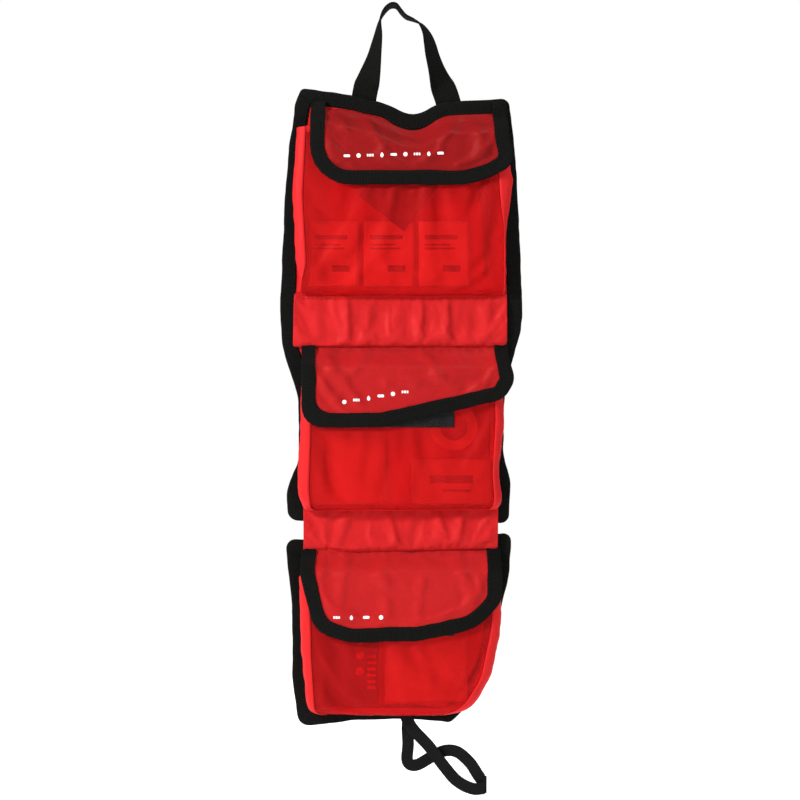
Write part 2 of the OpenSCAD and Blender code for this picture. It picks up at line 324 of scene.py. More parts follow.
def surface_of(obj):
    return BVHTree.FromPolygons([v.co for v in obj.data.vertices],
                                [tuple(p.vertices) for p in obj.data.polygons])


def apply_modifiers(obj):
    shown = obj.evaluated_get(bpy.context.evaluated_depsgraph_get())
    mesh = bpy.data.meshes.new_from_object(shown)
    obj.modifiers.clear()
    obj.data = mesh
    return obj


def subdivide(obj):
    modifier = obj.modifiers.new("finer", "SUBSURF")
    modifier.levels = modifier.render_levels = 1
    return apply_modifiers(obj)


def thicken(obj, thickness, offset=-1.0):
    """Gives a sheet its thickness, in millimetres, behind its front face by default."""
    modifier = obj.modifiers.new("thickness", "SOLIDIFY")
    modifier.thickness, modifier.offset = thickness * MM, offset
    return apply_modifiers(obj)


def join(name, objects, material):
    """One object from several, which are removed."""
    bm = bmesh.new()
    bm.loops.layers.uv.new("cloth")
    for obj in objects:
        bm.from_mesh(obj.data)
        bpy.data.objects.remove(obj)
    mesh = bpy.data.meshes.new(name)
    bm.to_mesh(mesh)
    bm.free()
    mesh.polygons.foreach_set("use_smooth", [True] * len(mesh.polygons))
    mesh.materials.append(material)
    return in_scene(name, mesh)


def cut_at(obj, z, upper, lower):
    """Splits a piece at height z into two pieces that meet there with the same shading."""
    halves = []
    for name, keep_top in ((upper, True), (lower, False)):
        mesh = bpy.data.meshes.new(name)
        changed(obj.data, lambda bm: bisected(bm, dist=1e-7, plane_co=(0, 0, z * MM), plane_no=(0, 0, 1),
                                              clear_inner=keep_top, clear_outer=not keep_top), mesh)
        for m in obj.data.materials:
            mesh.materials.append(m)
        halves.append(in_scene(name, mesh))
    whole = surface_of(obj)
    normals = {tuple(round(c, 6) for c in v.co): v.normal.copy() for v in obj.data.vertices}
    for half in halves:
        fine = []
        for v in half.data.vertices:
            known = normals.get(tuple(round(c, 6) for c in v.co))
            fine.append(known or whole.find_nearest(v.co)[1])
        half.data.normals_split_custom_set_from_vertices(fine)
    bpy.data.objects.remove(obj)
    return halves


def settle(obj, grid, pinned, grow=0.04, push=0.0, frames=26, cap=4.0, stiff=0.6):
    """Lets a sheet buckle under its own slack, held at its pinned points, by cloth simulation.
    grow is the share of extra cloth, and no point moves further than cap millimetres."""
    start = np.asarray(grid).reshape(-1, 3)
    group = obj.vertex_groups.new(name="pinned")
    group.add([int(i) for i in np.flatnonzero(np.asarray(pinned).ravel())], 1.0, "REPLACE")
    modifier = obj.modifiers.new("cloth", "CLOTH")
    cloth = modifier.settings
    cloth.vertex_group_mass = "pinned"
    cloth.quality, cloth.mass, cloth.air_damping = 6, 0.12, 2.0
    cloth.tension_stiffness = cloth.compression_stiffness = 12
    cloth.shear_stiffness, cloth.bending_stiffness = 4, stiff
    cloth.shrink_min = -grow
    cloth.use_pressure = push != 0
    cloth.uniform_pressure_force = push
    modifier.point_cache.frame_start, modifier.point_cache.frame_end = 1, frames
    modifier.collision_settings.use_collision = False
    scene = bpy.context.scene
    for f in range(1, frames + 1):
        scene.frame_set(f)
    shown = obj.evaluated_get(bpy.context.evaluated_depsgraph_get())
    moved = np.zeros(len(shown.data.vertices) * 3)
    shown.data.vertices.foreach_get("co", moved)
    obj.modifiers.clear()
    obj.vertex_groups.clear()
    scene.frame_set(1)
    shift = moved.reshape(-1, 3) / MM - start
    size = np.maximum(np.linalg.norm(shift, axis=1, keepdims=True), 1e-9)
    shift *= np.minimum(1, cap * np.tanh(size / cap) / size)
    settled = start + shift
    obj.data.vertices.foreach_set("co", (settled * MM).ravel())
    obj.data.update()
    return settled.reshape(np.asarray(grid).shape)


# ---------------------------------------------------------------- materials

def shader(name, **sockets):
    """A new material, with uniform values set on its Principled shader's own sockets."""
    material = bpy.data.materials.new(name)
    material.use_nodes = True
    main = material.node_tree.nodes["Principled BSDF"]
    for socket, value in sockets.items():
        main.inputs[socket.replace("_", " ")].default_value = value
    return material, main


def node(material, kind, **values):
    made = material.node_tree.nodes.new(kind)
    for key, value in values.items():
        if key in made.inputs.keys() or key.replace("_", " ") in made.inputs.keys():
            made.inputs[key.replace("_", " ")].default_value = value
        else:
            setattr(made, key, value)
    return made


def link(material, source, target):
    material.node_tree.links.new(source, target)


def math_node(material, operation, a, b=0.0):
    made = node(material, "ShaderNodeMath", operation=operation)
    for k, value in enumerate((a, b)):
        if isinstance(value, (int, float)):
            made.inputs[k].default_value = value
        else:
            link(material, value, made.inputs[k])
    return made.outputs[0]


def noise(material, place, **values):
    """A noise texture laid in the piece's own space."""
    made = node(material, "ShaderNodeTexNoise", **values)
    link(material, place.outputs["Object"], made.inputs["Vector"])
    return made


def threads(material, period):
    """Height of a plain weave with threads period metres apart, and the nodes that place it."""
    place = node(material, "ShaderNodeTexCoord")
    split = node(material, "ShaderNodeSeparateXYZ")
    link(material, place.outputs["UV"], split.inputs[0])
    f = math.tau / period
    a = math_node(material, "SINE", math_node(material, "MULTIPLY", split.outputs["X"], f))
    b = math_node(material, "SINE", math_node(material, "MULTIPLY", split.outputs["Y"], f))
    weave = math_node(material, "MULTIPLY", a, b)
    return math_node(material, "MULTIPLY_ADD", weave, 0.5), place, split


def coloured(material, main, low, high, factor):
    """Base colour from low to high by a factor of 0 to 1."""
    mix = node(material, "ShaderNodeMix", data_type="RGBA")
    mix.inputs[6].default_value, mix.inputs[7].default_value = (*low, 1), (*high, 1)
    link(material, factor, mix.inputs[0])
    link(material, mix.outputs[2], main.inputs["Base Color"])
    return mix


def bumped(material, main, height, strength, distance, below=None):
    bump = node(material, "ShaderNodeBump", Strength=strength, Distance=distance)
    link(material, height, bump.inputs["Height"])
    if below:
        link(material, below.outputs[0], bump.inputs["Normal"])
    link(material, bump.outputs[0], main.inputs["Normal"])
    return bump


RIPSTOP_STEP = 0.004


def nylon(name, colour, shade=1.0, clear=0.0, roughness=0.46, sheen=0.02, ripstop=True):
    """Thin coated nylon: fine taffeta threads, a ripstop grid, random soft tone changes and creases. Its
    colour also follows the crease bumps: paler and pinker on their crests, a painted highlight, and darker in
    their hollows, painted shade. clear is the share of the light that passes each of its two faces, tinted."""
    # shade scales the colour: painted light and shade, a lighter or darker copy of the nylon for each piece.
    tone = tuple(c * shade for c in colour)
    material, main = shader(name, Roughness=roughness, Sheen_Weight=sheen, Sheen_Roughness=0.4)
    main.inputs["Sheen Tint"].default_value = (1.0, 0.25, 0.2, 1)
    main.inputs["Specular Tint"].default_value = (1.0, 0.4, 0.35, 1)
    main.inputs["Specular IOR Level"].default_value = 0.12
    weave, place, split = threads(material, 0.0008)
    broad = noise(material, place, Scale=28.0, Detail=3.0, Roughness=0.55)
    fine = noise(material, place, Scale=420.0, Detail=2.0)
    mixed = math_node(material, "MULTIPLY_ADD", fine.outputs[0], 0.35)
    mixed.node.inputs[2].default_value = 0.0
    # The factor mixes random fine tone with the crease noise that drives the bumps, so it paints a highlight
    # on the crease crests and shade in their hollows.
    factor = math_node(material, "ADD", mixed, math_node(material, "MULTIPLY", broad.outputs[0], 0.65))
    low = tuple(c * 0.82 for c in tone)
    high = (min(tone[0] * 1.12, 1), tone[1] * 1.35, tone[2] * 1.35)
    coloured(material, main, low, high, factor)
    height = weave
    if ripstop:
        f = math.tau / RIPSTOP_STEP
        lines = [math_node(material, "POWER",
                           math_node(material, "ABSOLUTE", math_node(
                               material, "COSINE", math_node(material, "MULTIPLY",
                                                             split.outputs[k], f / 2))), 40.0)
                 for k in ("X", "Y")]
        grid = math_node(material, "MAXIMUM", lines[0], lines[1])
        height = math_node(material, "ADD", weave, math_node(material, "MULTIPLY", grid, 0.9))
    creases = bumped(material, main, broad.outputs[0], 0.55, 0.004)
    bumped(material, main, height, 0.35, 0.00012, creases)
    if clear:
        through = node(material, "ShaderNodeBsdfTransparent", Color=(0.93, 0.33, 0.30, 1))
        mix = node(material, "ShaderNodeMixShader")
        mix.inputs[0].default_value = clear
        link(material, main.outputs[0], mix.inputs[1])
        link(material, through.outputs[0], mix.inputs[2])
        output = material.node_tree.nodes["Material Output"]
        link(material, mix.outputs[0], output.inputs["Surface"])
    return material


def tape(name, colour, rib=0.0012, strength=0.7):
    """Ribbed woven tape: ribs run across it, with fine threads, random tone from its grain and a painted
    highlight on its rib crests.
    """
    material, main = shader(name, Roughness=0.62)
    main.inputs["Sheen Weight"].default_value = 0.005
    main.inputs["Specular IOR Level"].default_value = 0.05
    place = node(material, "ShaderNodeTexCoord")
    split = node(material, "ShaderNodeSeparateXYZ")
    link(material, place.outputs["UV"], split.inputs[0])
    ribs = math_node(material, "SINE", math_node(material, "MULTIPLY", split.outputs["Y"],
                                                 math.tau / rib))
    fill = math_node(material, "SINE", math_node(material, "MULTIPLY", split.outputs["X"],
                                                 math.tau / (rib * 0.7)))
    height = math_node(material, "ADD", ribs, math_node(material, "MULTIPLY", fill, 0.35))
    grain = noise(material, place, Scale=160.0, Detail=4.0, Roughness=0.6)
    # high is the lighter tone: random grain tone, and a painted highlight where the ribs are high.
    high = tuple(min(1, c * 1.9 + 0.001) for c in colour)
    grain_and_rib_highlight = math_node(material, "MULTIPLY", grain.outputs[0],
                     math_node(material, "MULTIPLY_ADD", ribs, 0.25))
    grain_and_rib_highlight.node.inputs[1].links[0].from_node.inputs[2].default_value = 0.55
    coloured(material, main, colour, high, grain_and_rib_highlight)
    bumped(material, main, height, strength, 0.0003)
    return material


def pile(name, colour):
    """Hook or loop patch: a dense matt pile."""
    material, main = shader(name, Roughness=0.85)
    main.inputs["Sheen Weight"].default_value = 0.04
    main.inputs["Specular IOR Level"].default_value = 0.1
    place = node(material, "ShaderNodeTexCoord")
    cells = node(material, "ShaderNodeTexVoronoi", Scale=900.0)
    link(material, place.outputs["Object"], cells.inputs["Vector"])
    coloured(material, main, colour, tuple(c * 2.4 + 0.01 for c in colour), cells.outputs[0])
    bumped(material, main, cells.outputs[0], 0.9, 0.0006)
    return material


def speckled(name, low, high, scale=90.0, roughness=0.6, bump=0.3, depth=0.0004, **sockets):
    """Paper, card, gauze, film or thread: two close tones and a fine relief."""
    material, main = shader(name, Roughness=roughness, **sockets)
    if "thread" in name:
        main.inputs["Specular IOR Level"].default_value = 0.1
    grain = noise(material, node(material, "ShaderNodeTexCoord"), Scale=scale, Detail=5.0, Roughness=0.6)
    coloured(material, main, low, high, grain.outputs[0])
    bumped(material, main, grain.outputs[0], bump, depth)
    return material


def gauze_weave(name):
    material, main = shader(name, Roughness=0.9)
    weave = threads(material, 0.0014)[0]
    coloured(material, main, (0.62, 0.61, 0.57), (0.86, 0.85, 0.82), weave)
    bumped(material, main, weave, 0.9, 0.0005)
    return material


RED = (0.56, 0.014, 0.016)
BLACK = (0.0030, 0.0030, 0.0027)
# The shade numbers below paint light and shade: one red nylon is made lighter or darker piece by piece as lit
# and shaded copies, with painted shade on the flaps (the top flap most) and the strips, and painted light on
# the pocket fronts and the lining.
RED_POCKET = nylon("red_nylon_pocket", RED, 1.22, clear=0.72)
RED_GUSSET = nylon("red_nylon_gusset", RED, 1.02, ripstop=False)
RED_STRIP = nylon("red_nylon_strip", RED, 0.88, ripstop=False)
RED_FLAPS = [nylon("red_nylon_top_flap", RED, 0.42, ripstop=False),
             nylon("red_nylon_middle_flap", RED, 0.66, ripstop=False),
             nylon("red_nylon_bottom_flap", RED, 0.72, ripstop=False)]
RED_LINING = nylon("red_nylon_lining", RED, 1.15, ripstop=False)
COVER = nylon("black_pack_cloth", (0.012, 0.012, 0.013), roughness=0.7, sheen=0.1)
for tint in ("Sheen Tint", "Specular Tint"):
    COVER.node_tree.nodes["Principled BSDF"].inputs[tint].default_value = (1, 1, 1, 1)
BINDING = tape("binding_grosgrain", BLACK)
WEBBING = tape("handle_webbing", BLACK, rib=0.0017)
ELASTIC = tape("elastic_knit", (0.005, 0.005, 0.005), rib=0.0011, strength=0.5)
PILE = pile("hook_and_loop_pile", (0.003, 0.003, 0.003))
BLACK_THREAD = speckled("black_thread", (0.005, 0.005, 0.005), (0.012, 0.012, 0.012), 600.0, 0.7)
RED_THREAD = speckled("red_thread", (0.32, 0.006, 0.007), (0.46, 0.01, 0.011), 600.0, 0.8)
INK = speckled("white_ink", (0.78, 0.76, 0.75), (0.93, 0.92, 0.91), 700.0, 0.55)
PAPER = speckled("sachet_paper", (0.72, 0.72, 0.70), (0.86, 0.86, 0.84), 120.0, 0.5)
PRINT = speckled("grey_print", (0.10, 0.10, 0.11), (0.2, 0.2, 0.21), 500.0, 0.5)
CARD = speckled("dark_card", (0.02, 0.005, 0.005), (0.045, 0.010, 0.010), 200.0, 0.45)
CARD_DOTS = speckled("card_dots", (0.62, 0.03, 0.03), (0.75, 0.05, 0.045), 300.0, 0.45)
BLISTER = speckled("blister_foil", (0.025, 0.026, 0.03), (0.06, 0.062, 0.07), 300.0, 0.35)
STEEL = speckled("tweezer_steel", (0.52, 0.53, 0.55), (0.68, 0.69, 0.70), 60.0, 0.28, 0.05, Metallic=1.0)
GAUZE = gauze_weave("gauze_cotton")
GLOVE_FILM = speckled("glove_pouch_film", (0.55, 0.57, 0.6), (0.72, 0.74, 0.76), 60.0, 0.25)
CORE = speckled("tape_core", (0.72, 0.7, 0.64), (0.84, 0.82, 0.76), 140.0, 0.7)


# ---------------------------------------------------------------- panels of cloth

def soft_limit(y, inward, outward):
    """Keeps a relief between -outward (to the front) and inward, without a hard edge."""
    return np.where(y > 0, inward * np.tanh(y / inward), outward * np.tanh(y / outward))


CREASE_SIZE = 24


def panel(name, points, depth, ridges, material, sides=(0, 1, 2, 3), inset=0.0, size=(30, 40),
          slack=0.03, push=0.0, cap=3.0, seed=1, rough=0.3, thickness=0.5, held=2, frames=26,
          top_free=None, limits=None, sunk=0.0, under=0.0):
    """A sheet that fills an outline, at depth(x, z), with listed folds and its own slack, sunk millimetres
    behind it inside its edges.
    Where it has limits, it is flat for under millimetres in from its sides and foot, where a tape covers
    it. top_free(x, z) is 0 where it is held under a seam at its top and 1 where it is free, and limits(x,
    z) is how far its relief may go inward and to the front."""
    line, marks = rounded(points, inset)
    flat = patch(line, marks, sides, *size)
    x, z = flat[..., 0], flat[..., 1]
    i, j = np.meshgrid(np.arange(size[0]), np.arange(size[1]), indexing="ij")
    edge = np.minimum(size[0] - 1 - i, np.minimum(j, size[1] - 1 - j))
    edge = edge if top_free else np.minimum(edge, i)
    free = top_free(x, z) if top_free else np.ones_like(x)
    inner = smooth_step(edge / 5) * free
    base = depth(x, z)
    grid = lift(flat, base - inner * (folds(x, z, ridges) - sunk + rough * crumple(x, z, CREASE_SIZE, seed)))
    obj = cloth_grid(name, grid, material)
    if slack:
        grid = settle(obj, grid, (edge < held) | (free < 0.1), slack, push, frames, cap)
    if limits:
        inside = smooth_step(edge / 4)
        if under:
            ring = [i % len(line) for i in range(marks[sides[1]], marks[sides[0]] + len(line) + 1)]
            gap = np.linalg.norm(flat[..., None, :] - line[ring], axis=-1).min(axis=-1)
            inside = smooth_step((gap - under) / 7)
        relief = (grid[..., 1] - base) * inside * smooth_step(free * 1.5)
        grid[..., 1] = base + soft_limit(relief, *limits(x, z))
        obj.data.vertices.foreach_set("co", (grid * MM).ravel())
        obj.data.update()
    wide, long = lengths(grid, 1)[-1], lengths(grid, 0)[-1]
    subdivide(obj)
    thicken(obj, thickness)
    obj["flat"] = (round(wide) * MM, round(long) * MM)
    return obj


def declare(obj, held, rests_on, *stood_for, slot="red_nylon"):
    return finish_piece(obj, slot, *stood_for)


def finish_piece(obj, slot, *stood_for):
    if stood_for:
        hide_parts(*stood_for)
    return obj


# ---------------------------------------------------------------- binding tape

# Cut through folded tape: share of its width in from the edge, share of its half thickness
TAPE_SECTION = [(0, 0), (0.015, -0.5), (0.05, -0.85), (0.13, -1), (0.4, -0.96), (0.7, -0.93),
                (0.93, -0.97), (0.985, -0.85), (1, -0.55), (0.97, 0), (1, 0.55), (0.985, 0.85),
                (0.93, 0.97), (0.7, 0.93), (0.4, 0.96), (0.13, 1), (0.05, 0.85), (0.015, 0.5)]


def ragged(line, seed):
    """The small unevenness of a sewn edge."""
    x, z = line[:, 0], line[:, 1]
    return line + 0.35 * np.stack([waves(x, z, 30, seed), waves(x, z, 30, seed + 1)], axis=1)


def below(lines, top):
    """Open lines of as many points each, cut off level at height top."""
    kept = np.flatnonzero(np.all([line[:, 1] < top - 0.3 for line in lines], axis=0))
    cut = []
    for line in lines:
        part = line[kept[0] - 1:kept[-1] + 2].copy()
        part[[0, -1], 1] = top
        cut.append(part)
    return cut


def binding(name, points, depth, half, span=None, width=TAPE_W, seed=3, top=None):
    """Tape folded over an outline's edge. depth(x, z) is the middle of the sheet in it, half its
    half thickness, span the first and last corner of an open run, and top where it is cut."""
    outer, marks = rounded(points)
    inner, _ = rounded(points, width)
    outer, inner = ragged(outer, seed), ragged(inner, seed + 5)
    if span:
        outer, inner = (part_of(line, marks[span[0]], marks[span[1]]) for line in (outer, inner))
        outer, inner = below((outer, inner), top)
    rings = []
    for share, height in TAPE_SECTION:
        flat = outer + (inner - outer) * share
        y = depth(flat[:, 0], flat[:, 1]) + half * height
        rings.append(lift(flat, y))
    return sweep(name, np.stack(rings, axis=1), BINDING, closed=span is None)


# ---------------------------------------------------------------- stitching

STITCH, STITCH_GAP, THREAD_R = 2.6, 1.0, 0.27
rows_of_stitches = {}


def stitch_row(key, line, out=-1.0):
    """Notes a row of stitches along a line of points. key is the name of its piece, and out the way that its
    side faces along Y."""
    rows_of_stitches.setdefault(key, []).append((np.asarray(line, float), out))


def stitch_points(line, out):
    run = run_along(line)
    place = lambda s: np.array([np.interp(s, run, line[:, k]) for k in range(3)])
    for start in np.arange(0.5, run[-1] - STITCH, STITCH + STITCH_GAP):
        a, b = place(start), place(start + STITCH)
        side = unit(np.cross(unit(b - a), [0, 1, 0])) * THREAD_R
        up = np.array([0, out, 0])
        for share, r, height in ((0, 0.4, -0.12), (0.2, 1, 0.16), (0.8, 1, 0.16), (1, 0.4, -0.12)):
            middle = a + (b - a) * share + up * height
            for k in range(5):
                angle = math.tau * k / 5
                yield middle + r * (side * math.cos(angle) + up * THREAD_R * math.sin(angle))


def sew(key, material):
    """One mesh of all the stitches noted under a key."""
    points = [p for line, out in rows_of_stitches[key] for p in stitch_points(line, out)]
    faces = []
    for first in range(0, len(points), 20):
        faces += [(first + 5 * i + k, first + 5 * i + (k + 1) % 5, first + 5 * i + 5 + (k + 1) % 5,
                   first + 5 * i + 5 + k) for i in range(3) for k in range(5)]
        faces += [tuple(first + k for k in range(5)), tuple(first + 19 - k for k in range(5))]
    return face_out(add_mesh(key, points, faces, material=material))


def tape_stitches(key, points, depth, half, span=None, inset=TAPE_W - 1.6, seed=3, top=None):
    """Stitches along a tape's inner edge, on its front and back."""
    line, marks = rounded(points, inset)
    line = ragged(line, seed + 5)
    if span:
        line = below((part_of(line, marks[span[0]], marks[span[1]]),), top)[0]
    for out in (-1, 1):
        y = depth(line[:, 0], line[:, 1]) + out * (half * 0.95 + 0.1)
        stitch_row(key, lift(line, y), out)


# ---------------------------------------------------------------- camera, light and floor

def camera_and_light():
    scene = bpy.context.scene
    low, high = np.array(cad_box[0]), np.array(cad_box[1])
    cam = in_scene("camera", bpy.data.cameras.new("camera"))
    cam.data.lens, cam.data.sensor_width = 85.0, 36.0
    cam.location = EYE * MM
    cam.rotation_euler = (math.radians(90), 0, 0)
    scene.camera = cam
    scene.view_settings.view_transform = "Standard"

    world = bpy.data.worlds.new("studio")
    world.use_nodes = True
    tree = world.node_tree
    tree.nodes["Background"].inputs["Color"].default_value = (1, 1, 1, 1)
    tree.nodes["Background"].inputs["Strength"].default_value = 1.0
    dim = tree.nodes.new("ShaderNodeBackground")
    dim.inputs["Strength"].default_value = 0.20
    path, mix = tree.nodes.new("ShaderNodeLightPath"), tree.nodes.new("ShaderNodeMixShader")
    tree.links.new(path.outputs["Is Camera Ray"], mix.inputs[0])
    tree.links.new(dim.outputs[0], mix.inputs[1])
    tree.links.new(tree.nodes["Background"].outputs[0], mix.inputs[2])
    tree.links.new(mix.outputs[0], tree.nodes["World Output"].inputs["Surface"])
    scene.world = world

    centre = Vector((KIT_X * MM, 0, (low[2] + high[2]) / 2))
    for name, place, size, power in (("key", (-1.25, -0.85, 0.75), 0.3, 36.0),
                                     ("fill", (0.8, -1.5, 0.1), 0.9, 3.5),
                                     ("top", (0.55, -0.30, 1.2), 0.6, 9.0)):
        light = in_scene(name, bpy.data.lights.new(name, "AREA"))
        light.data.size, light.data.energy = size, power
        light.location = centre + Vector(place)
        light.rotation_euler = (centre - light.location).to_track_quat("-Z", "Y").to_euler()

    x, y = np.meshgrid(np.linspace(-1500, 1500, 21), np.linspace(-1300, 1300, 21), indexing="ij")
    floor = add_mesh("floor", np.stack([x, y, np.full_like(x, low[2] / MM - 3)], axis=-1),
                     grid_faces(21, 21), material=speckled(
                         "pale_floor", (0.88, 0.88, 0.88), (0.90, 0.90, 0.90), 12.0, 0.9, 0.02))
    glow = floor.data.materials[0].node_tree.nodes["Principled BSDF"]
    glow.inputs["Emission Color"].default_value = (1, 1, 1, 1)
    glow.inputs["Emission Strength"].default_value = 0.74


camera_and_light()


# ---------------------------------------------------------------- pages

SHEET_Y = (FRONT_Y + BACK_Y) / 2
PAGE_HALF = (BACK_Y - FRONT_Y) / 2
SPINE_MIDDLE = (FOLD_A + FOLD_B) / 2
COVER_AHEAD, LINING_AHEAD = 0.05, 0.75

# The outline of the top page, the spine and the middle page together, clockwise from its top
# left corner: from the middle line, from the top hem, and the radius of the corner
UPPER = placed([(-80, 5.5, 4), (-39, -0.5, 120), (-13, -7, 50), (10, -18.5, 22), (30, -6, 40),
                (86, -3, 7), (91.5, -50, 150), (94.5, -110, 200), (97, -175, 60), (95.5, -190, 30),
                (83, -234, 30),
                (81.4, -285, 25), (87.6, -310, 25), (86, -343, 7), (-90, -341, 8), (-92.5, -318, 25),
                (-82, -292, 25), (-82.5, -243, 25), (-95.5, -200, 30), (-97, -172, 80),
                (-93.2, -80, 300), (-89.5, -40, 200), (-85, -8, 10)], HEM_Z)
# The bottom page's outline, from its own top hem
LOWER = placed([(-93, -4.5, 7), (88, 1, 6), (86.5, -33, 60), (79, -63, 40), (75, -98, 60),
                (60, -132, 30), (39, -150.5, 6), (9, -147.5, 60), (-35, -148.5, 80), (-82, -154, 10),
                (-87, -118, 100), (-87.5, -58, 60)], BOTTOM_TOP)


def page_depth(x, z):
    return SHEET_Y + sway(x, z)


def ahead(distance):
    """The depth of a sheet that lies distance millimetres in front of the pages' middle."""
    return lambda x, z: SHEET_Y - distance + sway(x, z)


def pages():
    tapes = binding("tape", UPPER, page_depth, PAGE_HALF)
    upper, lower = cut_at(tapes, SPINE_MIDDLE, "upper_binding", "middle_binding")
    finish_piece(upper, "binding_tape", "top_binding", "spine_binding")
    finish_piece(lower, "binding_tape", "middle_binding")
    back = panel("back", UPPER, ahead(COVER_AHEAD), [], COVER, (0, 5, 13, 14),
                 inset=8, size=(92, 46), slack=0, rough=0.25, seed=21, thickness=0.9)
    flat_upper = tuple(back["flat"])
    top_back, middle_back = cut_at(back, SPINE_MIDDLE, "top_cover_cloth", "middle_cover_cloth")
    for obj, share, nodes in ((top_back, 0.53, ("top_cover", "spine_cover")),
                              (middle_back, 0.47, ("middle_cover",))):
        obj["flat"] = (flat_upper[0], flat_upper[1] * share)
        declare(obj, "stretched", ["upper_binding", "middle_binding"], *nodes, slot="cover_nylon")
    lining = panel("lining", UPPER, ahead(LINING_AHEAD), [], RED_LINING,
                   (0, 5, 13, 14), inset=8, size=(92, 46), slack=0, rough=0.15, seed=22)
    upper_lining, rest = cut_at(lining, FOLD_A + 2, "top_lining_cloth", "rest")
    _, lower_lining = cut_at(rest, FOLD_B - 2, "behind_strip", "middle_lining_cloth")
    bpy.data.objects.remove(bpy.data.objects["behind_strip"])
    for obj, share, node_name, body in ((upper_lining, 0.45, "top_lining", "top_page"),
                                        (lower_lining, 0.42, "middle_lining", "middle_page")):
        obj["flat"] = (flat_upper[0], flat_upper[1] * share)
        declare(obj, "stretched", ["upper_binding", "middle_binding"], node_name)
        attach(obj, body)
    for obj in (upper, top_back):
        bend(obj)
    for obj in (lower, middle_back):
        bend(obj)

    low_tape = binding("bottom_binding_tape", LOWER, page_depth, PAGE_HALF, seed=31)
    finish_piece(low_tape, "binding_tape", "bottom_binding")
    low_back = panel("bottom_cover_cloth", LOWER, ahead(COVER_AHEAD), [], COVER,
                     (0, 1, 6, 9), inset=8, size=(44, 46), slack=0, rough=0.25, seed=23,
                     thickness=0.9)
    declare(low_back, "stretched", ["bottom_binding_tape"], "bottom_cover", slot="cover_nylon")
    low_lining = panel("bottom_lining_cloth", LOWER, ahead(LINING_AHEAD), [],
                       RED_LINING, (0, 1, 6, 9), inset=8, size=(44, 46), slack=0, rough=0.15, seed=24)
    declare(low_lining, "stretched", ["bottom_binding_tape"], "bottom_lining")
    for obj in (low_tape, low_back, low_lining):
        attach(obj, "bottom_page")


def bend(obj):
    """Bakes a piece's place into its mesh; it does not bend it."""
    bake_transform(obj)


pages()


# ---------------------------------------------------------------- pockets

